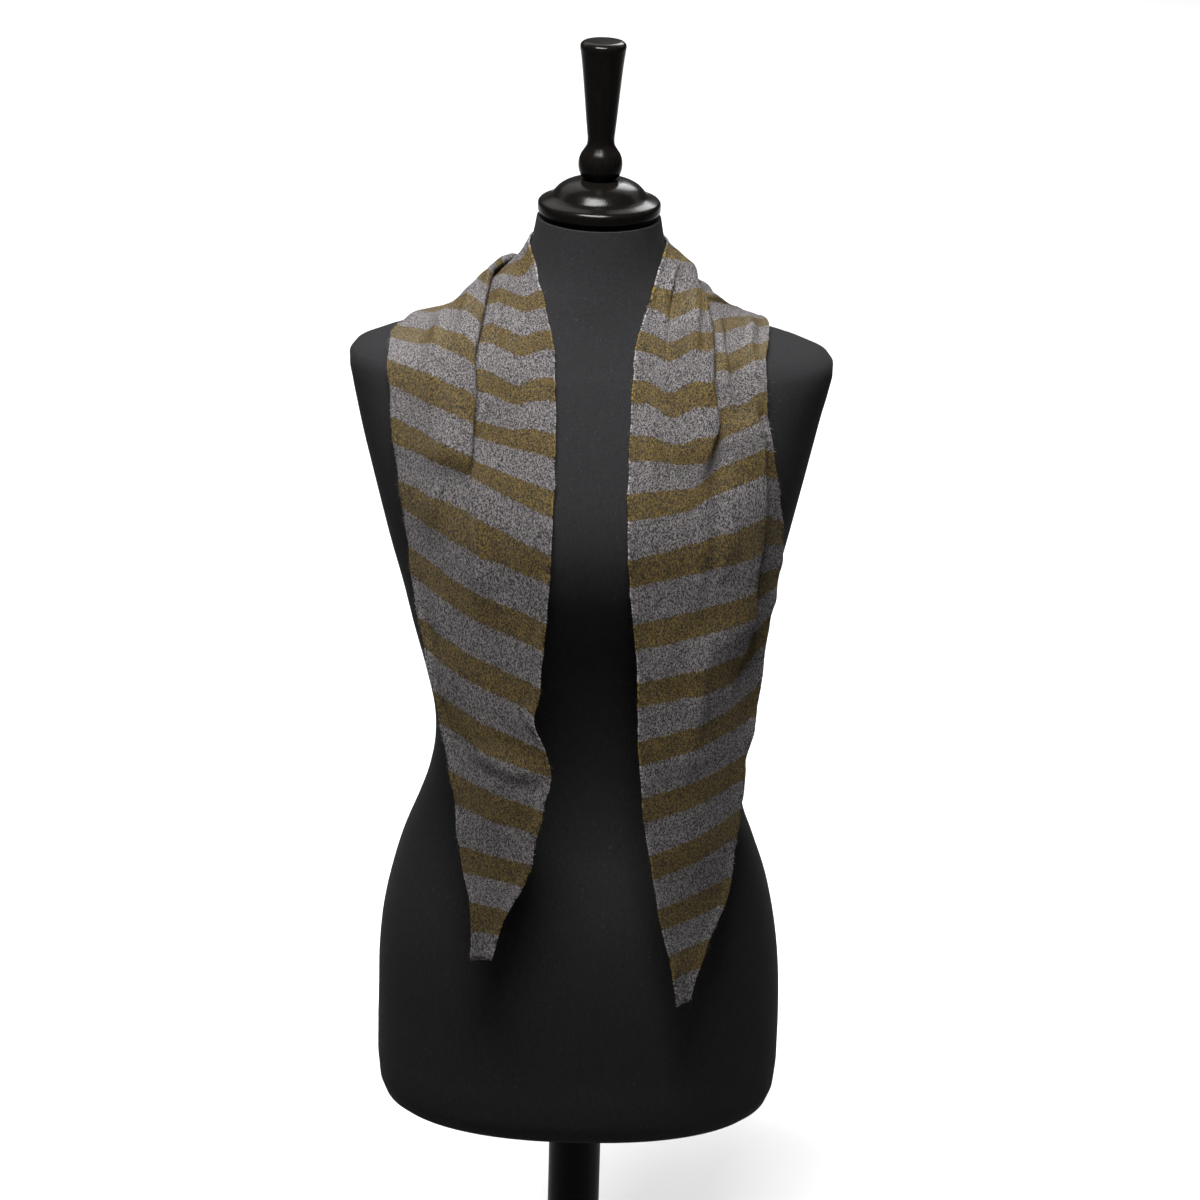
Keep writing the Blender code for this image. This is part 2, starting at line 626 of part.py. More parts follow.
def wall_mesh(name, grid, normals, thickness):
    """Closed wall round a grid of points on its middle surface."""
    outer = grid + normals * thickness * 0.5
    inner = grid - normals * thickness * 0.5
    rows, stations = grid.shape[:2]
    mesh = bmesh.new()
    top = [[mesh.verts.new(p) for p in line] for line in outer]
    low = [[mesh.verts.new(p) for p in line] for line in inner]
    for i in range(rows - 1):
        for k in range(stations - 1):
            mesh.faces.new((top[i][k], top[i + 1][k], top[i + 1][k + 1], top[i][k + 1]))
            mesh.faces.new((low[i][k], low[i][k + 1], low[i + 1][k + 1], low[i + 1][k]))
    rim = [(i, 0) for i in range(rows)]
    rim += [(rows - 1, k) for k in range(1, stations)]
    rim += [(i, stations - 1) for i in range(rows - 2, -1, -1)]
    rim += [(0, k) for k in range(stations - 2, 0, -1)]
    for (i, k), (m, n) in zip(rim, rim[1:] + rim[:1]):
        mesh.faces.new((top[m][n], top[i][k], low[i][k], low[m][n]))
    return finished_object(name, mesh)


# --------------------------------------------------------------------- making objects
def finished_object(name, mesh):
    bmesh.ops.recalc_face_normals(mesh, faces=mesh.faces)
    data = bpy.data.meshes.new(name)
    mesh.to_mesh(data)
    mesh.free()
    data.shade_smooth()
    data.set_sharp_from_angle(angle=math.radians(40.0))
    piece = bpy.data.objects.new(name, data)
    bpy.context.scene.collection.objects.link(piece)
    return piece


def paint(piece, name, colour, roughness, metallic=0.0):
    material = bpy.data.materials.get(name) or bpy.data.materials.new(name)
    material.use_nodes = True
    shader = material.node_tree.nodes["Principled BSDF"]
    shader.inputs["Base Color"].default_value = (*colour, 1.0)
    shader.inputs["Roughness"].default_value = roughness
    shader.inputs["Metallic"].default_value = metallic
    piece.data.materials.append(material)


def turned(name, profile, closed_ring=False):
    """Solid of revolution round the pole's axis from (radius, height) points in mm."""
    mesh = bmesh.new()
    rings = []
    for radius, height in profile:
        if radius == 0.0:
            rings.append([mesh.verts.new((0.0, 0.0, height * MM))])
            continue
        ring = []
        for k in range(TURNED_SEGMENTS):
            angle = 2.0 * math.pi * k / TURNED_SEGMENTS
            x, y = radius * math.cos(angle), radius * math.sin(angle)
            ring.append(mesh.verts.new((x * MM, y * MM, height * MM)))
        rings.append(ring)
    pairs = list(zip(rings, rings[1:]))
    if closed_ring:
        pairs.append((rings[-1], rings[0]))
    for lower, upper in pairs:
        for k in range(TURNED_SEGMENTS):
            after = (k + 1) % TURNED_SEGMENTS
            if len(lower) == 1:
                mesh.faces.new((lower[0], upper[k], upper[after]))
            elif len(upper) == 1:
                mesh.faces.new((lower[k], lower[after], upper[0]))
            else:
                mesh.faces.new((lower[k], lower[after], upper[after], upper[k]))
    return finished_object(name, mesh)


def make_torso():
    mesh = bmesh.new()
    rings = []
    for height, *_ in TORSO_RINGS:
        half, shift, front, back, power = torso_sizes(height)
        ring = []
        for k in range(TORSO_SEGMENTS):
            angle = 2.0 * math.pi * k / TORSO_SEGMENTS
            side = math.copysign(abs(math.sin(angle)) ** (2.0 / power), math.sin(angle))
            fore = math.copysign(abs(math.cos(angle)) ** (2.0 / power), math.cos(angle))
            depth = front if fore > 0.0 else back
            ring.append(mesh.verts.new(((shift + half * side) * MM, -depth * fore * MM,
                                        (FORM_ZERO + height) * MM)))
        rings.append(ring)
    for lower, upper in zip(rings, rings[1:]):
        for k in range(TORSO_SEGMENTS):
            after = (k + 1) % TORSO_SEGMENTS
            mesh.faces.new((lower[k], lower[after], upper[after], upper[k]))
    mesh.faces.new(rings[0])
    mesh.faces.new(rings[-1])
    torso = finished_object("torso", mesh)
    paint(torso, "black jersey", (0.022, 0.022, 0.024), 0.85)


NECK_END = FORM_ZERO + NECK_TOP
PLATE_BOTTOM = NECK_END + PIECE_GAP
CAP_BOTTOM = PLATE_BOTTOM + PLATE_HEIGHT + PIECE_GAP
# turned cap: radius, height above its underside
CAP_PROFILE = (
    (0.0, 0.0), (47.5, 0.0), (48.6, 1.2), (48.9, 4.5), (48.7, 7.8), (47.6, 9.3),
    (44.8, 10.6), (41.2, 12.1), (38.2, 14.0), (36.0, 16.6), (32.6, 20.2),
    (27.5, 23.4), (21.0, 25.6), (15.0, 26.6), (0.0, 26.6),
)
# turned finial: radius, height above its underside
FINIAL_PROFILE = (
    (0.0, 0.0), (13.6, 0.0), (15.6, 3.4), (17.0, 7.4), (17.5, 11.6), (17.1, 16.0),
    (15.6, 20.2), (13.2, 23.9), (11.2, 27.3), (10.7, 31.0), (11.2, 38.0),
    (12.2, 48.0), (13.3, 60.0), (14.6, 74.0), (16.2, 90.0), (17.7, 102.0),
    (18.2, 105.5), (17.9, 107.8), (16.4, 109.3), (9.0, 110.4), (0.0, 110.7),
)


# collar round the pole's foot, with the pole's hole: radius, height above the base
COLLAR_HOLE = POLE_RADIUS + PIECE_GAP
COLLAR_PROFILE = (
    (COLLAR_HOLE, 0.0), (42.0, 0.0), (40.0, 5.0), (34.0, 12.0), (32.0, 43.0),
    (29.0, 46.0), (COLLAR_HOLE, 46.0),
)


def raised(profile, height):
    return [(radius, z + height) for radius, z in profile]


def make_neck_plate():
    top = PLATE_BOTTOM + PLATE_HEIGHT
    plate = turned("neck_plate", ((0.0, PLATE_BOTTOM), (PLATE_RADIUS, PLATE_BOTTOM),
                                  (PLATE_RADIUS, top), (0.0, top)))
    paint(plate, "black metal", (0.012, 0.012, 0.012), 0.45)


def make_neck_cap():
    cap = turned("neck_cap", raised(CAP_PROFILE, CAP_BOTTOM))
    paint(cap, "black turned wood", (0.012, 0.011, 0.010), 0.35)


def make_finial():
    bottom = CAP_BOTTOM + CAP_PROFILE[-1][1] + PIECE_GAP
    finial = turned("finial", raised(FINIAL_PROFILE, bottom))
    paint(finial, "black turned wood", (0.012, 0.011, 0.010), 0.35)


def make_stand():
    base = turned("base", (
        (0.0, 0.0), (BASE_RADIUS, 0.0), (BASE_RADIUS, BASE_HEIGHT - BASE_EDGE),
        (BASE_RADIUS - BASE_EDGE * 0.3, BASE_HEIGHT - BASE_EDGE * 0.3),
        (BASE_RADIUS - BASE_EDGE, BASE_HEIGHT), (0.0, BASE_HEIGHT)))
    paint(base, "black metal", (0.012, 0.012, 0.012), 0.45)
    foot = BASE_HEIGHT + PIECE_GAP
    collar = turned("base_collar", raised(COLLAR_PROFILE, foot), closed_ring=True)
    paint(collar, "black metal", (0.012, 0.012, 0.012), 0.45)
    top = FORM_ZERO + TORSO_RINGS[0][0] - PIECE_GAP
    pole = turned("pole", ((0.0, foot), (POLE_RADIUS, foot), (POLE_RADIUS, top),
                           (0.0, top)))
    paint(pole, "black metal", (0.012, 0.012, 0.012), 0.45)


LEFT_PLEATS = (0,)
RIGHT_PLEATS = (1, 2)
# stretch of the scarf: first and last row, its pleats, stations of each panel between
# them, and rows to each stripe repeat
STRETCHES = (
    ("scarf_tail_left", LEFT_TIP, LEFT_SEAM, (), (13,), 2.4),
    ("scarf_neck_left", LEFT_SEAM, MIDDLE_ROW, LEFT_PLEATS, (9, 11), 3.2),
    ("scarf_neck_right", MIDDLE_ROW, RIGHT_SEAM, RIGHT_PLEATS, (8, 5, 4), 3.2),
    ("scarf_tail_right", RIGHT_SEAM, RIGHT_TIP, (), (13,), 2.4),
)


def laid_rows(first, last, pleats, a_repeat):
    """Evenly spaced rows, and one at each knot of the pleats that lies between them."""
    even = np.linspace(first, last, int(round((last - first) * a_repeat)) + 1)
    knots = [knot[0] for pleat in pleats for knot in PLEATS[pleat]
             if first < knot[0] < last]
    apart = LEAST_APART / a_repeat
    even = [row for row in even[1:-1] if all(abs(row - knot) > apart for knot in knots)]
    rows = [first, *sorted({*even, *knots}), last]
    rows = [row for row, after in zip(rows, rows[1:]) if after - row > 0.5 * apart]
    return np.array(rows + [last])


def make_scarf():
    drape = Drape(HangSurface())
    half_gap = 0.5 * PIECE_GAP / STRIPE_REPEAT
    for name, first, last, pleats, panels, a_repeat in STRETCHES:
        first += half_gap if first > LEFT_TIP else 0.0
        last -= half_gap if last < RIGHT_TIP else 0.0
        rows = laid_rows(first, last, pleats, a_repeat)
        before, grid, after = [
            cloth_grid(drape, rows + step, pleats, panels, TURN_STATIONS)
            for step in (-SLOPE_STEP, 0.0, SLOPE_STEP)]
        normals = grid_normals(grid, after - before)
        scarf = wall_mesh(name, grid, normals, CLOTH_WALL * MM)
        paint(scarf, "striped knit", (0.16, 0.15, 0.14), 0.95)


def clear_scene():
    for piece in list(bpy.data.objects):
        bpy.data.objects.remove(piece)


def main():
    clear_scene()
    make_torso()
    make_neck_plate()
    make_neck_cap()
    make_finial()
    make_stand()
    make_scarf()


main()
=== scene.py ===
"""Looks of the knitted triangle scarf on its dress form.

Tables and named sizes are in millimetres, scaled by MM, unless their comment says m.
"""

import math

import bmesh
import bpy
import numpy as np
from mathutils import Matrix, Vector, noise
from mathutils.bvhtree import BVHTree


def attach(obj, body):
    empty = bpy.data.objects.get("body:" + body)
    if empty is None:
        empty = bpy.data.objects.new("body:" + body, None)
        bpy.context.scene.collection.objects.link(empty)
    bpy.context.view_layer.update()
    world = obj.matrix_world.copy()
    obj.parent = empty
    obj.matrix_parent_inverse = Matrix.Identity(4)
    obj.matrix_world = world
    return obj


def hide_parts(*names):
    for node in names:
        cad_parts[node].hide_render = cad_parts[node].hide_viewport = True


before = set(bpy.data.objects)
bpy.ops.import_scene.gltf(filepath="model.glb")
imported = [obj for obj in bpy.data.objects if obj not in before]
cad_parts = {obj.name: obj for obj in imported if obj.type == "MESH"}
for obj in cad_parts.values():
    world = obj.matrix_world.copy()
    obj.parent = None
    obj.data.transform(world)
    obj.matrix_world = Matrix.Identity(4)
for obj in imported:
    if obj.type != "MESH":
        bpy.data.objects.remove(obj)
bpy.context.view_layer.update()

MM = 0.001

# ---- driving sizes (mm)
FORM_ZERO = 300.0          # where the heights in the tables count from, above the floor
PIECE_GAP = 0.3            # between pieces that touch
BASE_RADIUS = 200.0
BASE_HEIGHT = 14.0
BASE_EDGE = 4.0
EDGE_BULGE = 0.3           # where the base's edge bends, as a share of that
POLE_RADIUS = 22.5
NECK_TOP = 774.0           # top of the jersey
PLATE_RADIUS = 46.0
PLATE_HEIGHT = 3.6

TURNED_SEGMENTS = 96

# ---- torso sections (mm)
TORSO_RINGS = (
    # height, half width, shift of the middle, depth before the pole's axis, depth behind it
    (-9, 150, 0, 93, 101),
    (-5, 161, 0, 102, 112),
    (4, 168, 0, 108.5, 120),
    (22, 171.5, 0, 112, 125),
    (55, 172.5, 0, 113.5, 128),
    (90, 172, 0, 115.5, 130),
    (130, 170.5, -1, 117, 129),
    (165, 166.5, -2, 116.5, 125),
    (200, 159, -2.5, 113.5, 118),
    (235, 148, -3.5, 106, 108),
    (262, 138, -3, 99, 98),
    (290, 132, 0.5, 94.5, 90),
    (320, 131, 5, 93, 85.5),
    (350, 133, 7, 95, 85),
    (390, 138.5, 4.5, 101.5, 88),
    (430, 145.5, 1, 112, 93),
    (470, 152.5, -1.5, 126, 98),
    (505, 161.5, -2, 136.5, 102.5),
    (535, 168.5, -2.5, 139.5, 105.5),
    (565, 175.5, -3, 134.5, 107),
    (595, 182.5, -3.5, 122.5, 106.5),
    (620, 188, -3.5, 110.5, 104),
    (640, 192.5, -3, 100, 100.5),
    (654, 194.5, -3, 92.5, 97),
    (664, 191, -3, 87, 93),
    (670, 176, -2.5, 83, 89),
    (678, 149, -2, 78.5, 83),
    (689, 119.5, -1.5, 72.5, 75.5),
    (701.5, 95, -1, 66.5, 68.5),
    (716.5, 75.5, -0.5, 61, 62.5),
    (733, 61.5, 0, 56, 57),
    (750, 54.5, 0, 52.5, 53),
    (765, 51, 0, 50.5, 50.5),
    (774, 49.5, 0, 49.5, 49.5),
)
ROUND_ABOVE = 745.0        # the neck's sections are true circles from here up
SQUARE_BELOW = 640.0       # and the trunk's are slightly squared ovals below this
TRUNK_POWER = 2.3

# ---- the cloth (mm)
# A row runs from the long edge to the two outer edges, along one knitted stripe.
# Rows are counted in stripe repeats from the left tail's tip.
CLOTH_WALL = 2.0
CLOTH_CLEARANCE = 2.3      # air between the form and the cloth's underside
STRIPE_REPEAT = 55.0
LEFT_TIP = 0.4
MIDDLE_ROW = 15.5          # runs down the middle of the back to the blunt corner
RIGHT_TIP = 30.65
BEND_RADIUS = 2.3          # of a pleat's two turns, at the middle of the wall
CLOSED_STRENGTH = 0.6      # from here up a pleat's layers lie flat on each other
LEAST_OVERLAP = 2.5        # straight length between a pleat's turns
PLEAT_SETTLES = 45.0       # length in which a pleat's top layer sinks back to the form
HANG_FROM = 535.0          # height of the bust line, where the tails leave the form
HANG_TO = 60.0             # height down to which the hang surface goes
HANG_RINGS = 180
HANG_SEGMENTS = 288

# The long edge, round the neck. Across is x; along is the height, or y from above.
LONG_EDGE = (
    # side that the knots are read from, and for each knot its row, across, along
    ("front", (0.4, -71, 183), (1, -62, 218), (2, -43, 262), (3, -34, 310), (4, -32, 362),
     (5, -37, 416), (6, -34, 471), (7, -31, 527), (8, -30, 577), (9, -30, 618), (10, -31, 657),
     (11, -34, 691), (12, -42, 720)),
    ("above", (13, -51, -19), (13.6, -53, 3), (14.2, -42, 33)),
    ("back", (15.1, 0, 758)),
    ("above", (16, 42, 33), (16.6, 53, 3), (17.1, 51, -18)),
    ("front", (18, 42, 722), (19, 33, 691), (20, 30, 657), (21, 29, 617), (22, 29, 575),
     (23, 31, 524), (24, 37, 471), (25, 41, 422), (26, 43, 371), (27, 47, 321), (28, 56, 270),
     (29, 64, 222), (30, 74, 179), (30.65, 80, 142)),
)

# The outer edges, over the shoulders and down the back to the blunt corner.
OUTER_EDGE = (
    # side that the knots are read from, and for each knot its row, across, along
    ("front", (0.4, -88, 179), (1, -87, 221), (2, -96, 268), (3, -104, 331), (4, -117, 398),
     (5, -130, 457), (6, -140, 516), (7, -148, 568), (8, -155, 617), (9, -161, 658)),
    ("above", (9.5, -162, -40), (10, -162, -12), (10.5, -151, 14), (11, -136, 42)),
    ("back", (12, -101, 668), (13, -60, 640), (14, -14, 602), (15, 38, 572), (15.5, 64, 562),
     (16, 84, 572), (17, 111, 610), (18, 129, 658)),
    ("above", (18.5, 134, 50), (19, 137, 18), (19.5, 137, -12), (20, 134, -43)),
    ("front", (20.5, 133, 665), (21, 134, 645), (22, 141, 598), (23, 149, 539), (24, 148, 504),
     (25, 142, 464), (26, 135, 401), (27, 128, 346), (28, 124, 298), (29, 117, 239),
     (30, 100, 187), (30.65, 89, 145)),
)

# Knife pleats that gather the cloth at the neck's sides. Each knot tells where one
# row reaches the visible fold from the long edge's side and where it goes on beyond
# it: the cloth hidden in between moves the stripe along the fold. Strength 1 is
# three full layers with the outer part on top, -1 with the inner part on top.
PLEATS = (
    # side, and for each knot: row, strength, overlap, x and along inside, x and along outside
    # one pleat crosses the left shoulder
    (
        ("front",
         (6.6, 0, 0, -90, 531, -90, 531), (7.4, 0.12, 0, -91, 575, -91, 577),
         (8.2, 0.4, 0, -92, 603, -92, 606), (9, 0.65, 3, -91, 626, -92, 640),
         (9.6, 0.75, 6, -91, 644, -91, 662)),
        ("above",
         (10.3, 0.9, 10, -91, -78, -88, -64), (11, 1, 14, -89, -60, -84, -42),
         (12, 1, 16, -84, -27, -74, -14), (12.7, 0.9, 12, -76, -6, -70, 8),
         (13.2, 0.7, 6, -70, 11, -67, 18), (13.7, 0.45, 0, -61, 29, -60, 31),
         (14.1, 0.2, 0, -52, 42, -52, 42), (14.6, 0, 0, -38, 54, -38, 54)),
    ),
    # another crosses the right shoulder
    (
        ("above",
         (15.9, 0, 0, 36, 60, 36, 60), (16.4, -0.2, 0, 55, 43, 55, 43),
         (16.8, -0.3, 0, 64, 27, 64, 28), (17.2, -0.42, 0, 69, 10, 69, 13),
         (17.7, -0.75, 4, 71, -18, 75, -4), (18.2, -1, 10, 73, -44, 76, -24),
         (19, -1, 14, 78, -65, 82, -49)),
        ("front",
         (19.6, -0.9, 9, 83, 665, 88, 682), (20.2, -0.6, 0, 88, 643, 93, 667),
         (20.6, -0.45, 0, 92, 630, 96, 651), (21, -0.3, 0, 96, 616, 99, 633),
         (21.6, -0.18, 0, 100, 595, 102, 606), (22.3, -0.06, 0, 104, 567, 104, 570),
         (22.8, 0, 0, 106, 545, 106, 545)),
    ),
    # the right tail's outer edge is turned under and out again
    (
        ("front",
         (20.2, 0, 0, 126, 670, 126, 670), (21, -0.25, 0, 128, 643, 129, 646),
         (21.3, -0.42, 0, 128, 631, 129, 635), (21.6, -0.6, 0, 129, 620, 130, 624),
         (22.3, -0.9, 5, 127, 589, 129, 596), (23, -1, 7, 126, 547, 129, 556),
         (23.7, -0.8, 3, 125, 505, 127, 517), (24.3, -0.4, 0, 126, 475, 127, 481),
         (25, -0.2, 0, 126, 441, 126, 448), (26, 0, 0, 123, 396, 123, 396)),
    ),
)

# Soft folds: first and last row, share of the row's length at each, width, height.
SOFT_FOLDS = (
    # first, last, share at first, share at last, width, lift, slide
    # left: the heap of cloth on the shoulder beside the neck, and a dip inside it
    (11, 14.6, 0.48, 0.02, 52, 4, 0),
    (8.4, 14, 0.30, 0.06, 34, 0, 13),
    # right: a roll beside the neck, the trough below it, a ridge and an outer trough
    (15.8, 18.4, 0.05, 0.05, 22, 5, 0),
    (16.9, 22, 0.06, 0.40, 26, -4, 12),
    (18, 21.4, 0.32, 0.86, 20, 3.5, -3),
    (17.8, 21.6, 0.32, 0.95, 18, -3, 7),
    # back: soft folds that spread from the neck over the shoulder blades
    (12, 14.4, 0.92, 0.92, 60, 3, 0),
    (16.2, 18.9, 0.80, 0.85, 70, 2.5, 0),
    (12.6, 14.9, 0.50, 0.25, 34, 6, 3),
    (13.8, 15.7, 0.35, 0.75, 40, 5, 0),
    (15.3, 17.2, 0.75, 0.30, 36, 6, 0),
    (16.3, 18.4, 0.25, 0.50, 40, 4, 2),
    # the tails: shallow waves where they hang free
    (1.6, 8.5, 0.55, 0.50, 44, 4, 0),
    (23, 29.5, 0.35, 0.50, 46, 4, 0),
)

TAUT_ROWS_A_REPEAT = 4
TAUT_POINTS = 14
TAUT_PASSES = 12
FIRST_BULGE = 0.35         # of a row's first guess, as a share of its span
SEARCH_REACH = 1.2         # rows to each side that are searched for a pleat's knot
SEARCH_ROWS = 49
OPENS_LATE = 6             # power with which an opening pleat spreads evenly
FADE_PART = 0.3            # part of a soft fold's length over which each end fades
LIFT_SOFTNESS = 0.5        # mm; soft folds never press the cloth into the form
ABOVE_ALL = 3.0            # m; height that knots read from above are cast from


# ---- small mathematics
def smoothstep(value):
    value = np.clip(value, 0.0, 1.0)
    return value * value * (3.0 - 2.0 * value)


def spline(knots, values, at):
    """Smooth curve through values (one row per knot), read at one or more places."""
    knots = np.asarray(knots, float)
    values = np.asarray(values, float)
    slopes = np.gradient(values, knots, axis=0)
    at = np.clip(np.atleast_1d(at), knots[0], knots[-1])
    cell = np.clip(np.searchsorted(knots, at, side="right") - 1, 0, len(knots) - 2)
    width = knots[cell + 1] - knots[cell]
    part = (at - knots[cell]) / width
    if values.ndim > 1:
        part, width = part[:, None], width[:, None]
    start, end = values[cell], values[cell + 1]
    low, high = slopes[cell] * width, slopes[cell + 1] * width
    return (start * (1 + 2 * part) * (1 - part) ** 2 + low * part * (1 - part) ** 2
            + end * part ** 2 * (3 - 2 * part) - high * part ** 2 * (1 - part))


# ---- the form
def torso_sizes(height):
    """Half width, shift, front depth, back depth and squareness of one section."""
    table = np.array(TORSO_RINGS)
    half, shift, front, back = spline(table[:, 0], table[:, 1:], height)[0]
    squared = smoothstep((ROUND_ABOVE - height) / (ROUND_ABOVE - SQUARE_BELOW))
    return half, shift, front, back, 2.0 + (TRUNK_POWER - 2.0) * squared


def torso_radius(height, angle):
    """Distance from the section's middle, at an angle from the front towards +X."""
    half, shift, front, back, power = torso_sizes(height)
    depth = front if math.cos(angle) > 0.0 else back
    across = abs(math.sin(angle) / half) ** power
    along = abs(math.cos(angle) / depth) ** power
    return (across + along) ** (-1.0 / power)


def ring_point(radius, angle, shift, height):
    x = shift + radius * math.sin(angle)
    y = -radius * math.cos(angle)
    return Vector((x * MM, y * MM, (FORM_ZERO + height) * MM))


class HangSurface:
    """The form with every hollow under its chest filled: cloth lies on it, then hangs."""

    def __init__(self):
        self.heights = np.linspace(NECK_TOP, HANG_TO, HANG_RINGS)
        self.step = 2.0 * math.pi / HANG_SEGMENTS
        reach = [0.0] * HANG_SEGMENTS
        self.points = []
        for height in self.heights:
            shift = torso_sizes(max(height, HANG_FROM))[1]
            here = [torso_radius(height, self.step * k) for k in range(HANG_SEGMENTS)]
            reach = [max(old, new) for old, new in zip(reach, here)]
            self.points.append([ring_point(radius, self.step * k, shift, height)
                                for k, radius in enumerate(reach)])
        flat = [point for ring in self.points for point in ring]
        count = HANG_SEGMENTS
        faces = [(i * count + k, i * count + (k + 1) % count,
                  (i + 1) * count + (k + 1) % count, (i + 1) * count + k)
                 for i in range(HANG_RINGS - 1) for k in range(count)]
        self.tree = BVHTree.FromPolygons(flat, faces)
        grid = np.array([[tuple(point) for point in ring] for ring in self.points])
        down = np.gradient(grid, axis=0)
        around = (np.roll(grid, -1, axis=1) - np.roll(grid, 1, axis=1)) * 0.5
        normals = np.cross(down, around)
        self.normals = normals / np.linalg.norm(normals, axis=2, keepdims=True)

    def nearest(self, point):
        return self.tree.find_nearest(point)[0]

    def normal(self, point):
        """Smooth outward direction at a point that lies on the surface."""
        height = point.z / MM - FORM_ZERO
        row = (self.heights[0] - height) / (self.heights[0] - self.heights[1])
        row = min(max(row, 0.0), HANG_RINGS - 1.001)
        column = (math.atan2(point.x, -point.y) / self.step) % HANG_SEGMENTS
        i, k = int(row), int(column)
        down, side = row - i, column - k
        following = (k + 1) % HANG_SEGMENTS
        upper = self.normals[i, k] * (1 - side) + self.normals[i, following] * side
        lower = self.normals[i + 1, k] * (1 - side) + self.normals[i + 1, following] * side
        return Vector(upper * (1 - down) + lower * down).normalized()

    def seen(self, side, across, along):
        """Point seen from the front or back (x, height) or from above (x, y)."""
        if side == "above":
            start, way = (across * MM, along * MM, ABOVE_ALL), (0.0, 0.0, -1.0)
        else:
            sign = -1.0 if side == "front" else 1.0
            start = (across * MM, sign, (FORM_ZERO + along) * MM)
            way = (0.0, -sign, 0.0)
        return self.tree.ray_cast(Vector(start), Vector(way))[0]


# ---- the cloth
def knots_of(runs):
    """Each knot of an edge or a pleat, after the side that it is read from."""
    return [(side, *knot) for side, *knots in runs for knot in knots]


def laid_edge(surface, runs):
    """Rows and points of an edge whose knots are laid on the hang surface."""
    knots = knots_of(runs)
    points = [tuple(surface.seen(side, across, along)) for side, _, across, along in knots]
    return [knot[1] for knot in knots], points


def taut_row(surface, start, end):
    """Shortest way over the surface from one point to another, as a list of points."""
    push = surface.normal(start) + surface.normal(end)
    push = push.normalized() * (end - start).length * FIRST_BULGE
    line = []
    for k in range(TAUT_POINTS):
        part = k / (TAUT_POINTS - 1)
        raised = start.lerp(end, part) + push * math.sin(math.pi * part)
        line.append(surface.nearest(raised))
    line[0], line[-1] = start, end
    for _ in range(TAUT_PASSES):
        for k in range(1, TAUT_POINTS - 1):
            line[k] = surface.nearest((line[k - 1] + line[k + 1]) * 0.5)
    return line


def pleat_path(strength, overlap, turn_stations):
    """Section of a knife pleat in mm: (along the row, lift) from its visible fold."""
    amount = min(abs(strength), 1.0)
    turn = math.pi * smoothstep(amount / CLOSED_STRENGTH)
    r = BEND_RADIUS
    steps = [turn * k / turn_stations for k in range(turn_stations + 1)]
    path = [(r * math.sin(a), r * (1.0 - math.cos(a))) for a in steps]
    x, lift = path[-1]
    x, lift = x + overlap * math.cos(turn), lift + overlap * math.sin(turn)
    path.append((0.5 * (x + path[-1][0]), 0.5 * (lift + path[-1][1])))
    centre = (x + r * math.sin(turn), lift - r * math.cos(turn))
    path += [(centre[0] - r * math.sin(turn - a), centre[1] + r * math.cos(turn - a))
             for a in steps]
    edge = min(point[0] for point in path)
    path = [(x - edge, lift) for x, lift in path]
    if strength < 0.0:
        path = [(-x, lift) for x, lift in reversed(path)]
    return path


def reach_of(line):
    """Length in mm from a line's start to each of its points."""
    steps = [(b - a).length / MM for a, b in zip(line, line[1:])]
    return np.cumsum([0.0] + steps)


def evenly(line):
    """The same line with its points evenly spaced, as tuples."""
    reach = reach_of(line)
    places = np.linspace(0.0, reach[-1], TAUT_POINTS)
    return [tuple(np.interp(place, reach, [point[axis] for point in line])
                  for axis in range(3)) for place in places]


def soft_fold(row, along, length):
    """Lift and slide in mm that the soft folds give one place of a row."""
    lift, slide = 0.0, 0.0
    for first, last, share_first, share_last, width, height, shift in SOFT_FOLDS:
        if first < row < last:
            part = (row - first) / (last - first)
            centre = length * (share_first + (share_last - share_first) * part)
            bump = math.exp(-((along - centre) / (0.5 * width)) ** 2)
            bump *= smoothstep(min(part, 1.0 - part) / FADE_PART)
            lift += height * bump
            slide += shift * bump
    raised_only = 0.5 * (lift + math.hypot(lift, LIFT_SOFTNESS) - LIFT_SOFTNESS)
    return raised_only, slide


def flat_section(length, paths, panel_stations):
    """Stations of a row before it is folded softly: along, lift, row shift, the number
    of their panel (or, half a number on, of the pleat after it), part of the pleat."""
    section, start = [], 0.0
    for index, count in enumerate(panel_stations):
        last = index == len(paths)
        end = length if last else paths[index][0][0]
        skipped = 0 if index == 0 else 1
        cells = count + skipped - (1 if last else 0)
        for k in range(count):
            along = start + (end - start) * (k + skipped) / cells
            section.append([along, 0.0, 0.0, index, 0.0])
        if not last:
            path = paths[index]
            steps = [0.0] + [math.dist(a, b) for a, b in zip(path, path[1:])]
            section += [[x, lift, 0.0, index + 0.5, part]
                        for (x, lift), part in zip(path, np.cumsum(steps) / sum(steps))]
            start = path[-1][0]
    return section


def lay_beside_pleat(section, index, length, path, strength, overlap, shifts):
    """Raise the cloth that lies on a pleat, and shift the rows on both of its sides."""
    inside, outside = shifts
    top = max(lift for _, lift in path)
    first, last = path[0][0], path[-1][0]
    for station in section:
        along, _, _, place, part = station
        past = None
        if place < index + 0.5:
            station[2] += inside * along / first
            if strength < 0.0:
                past = first - along
        elif place > index + 0.5:
            station[2] += outside * (length - along) / (length - last)
            if strength > 0.0:
                past = along - last
        else:
            station[2] += inside + (outside - inside) * part
        if past is not None:
            past -= overlap + 2.0 * BEND_RADIUS
            station[1] += top * smoothstep(1.0 - past / PLEAT_SETTLES)


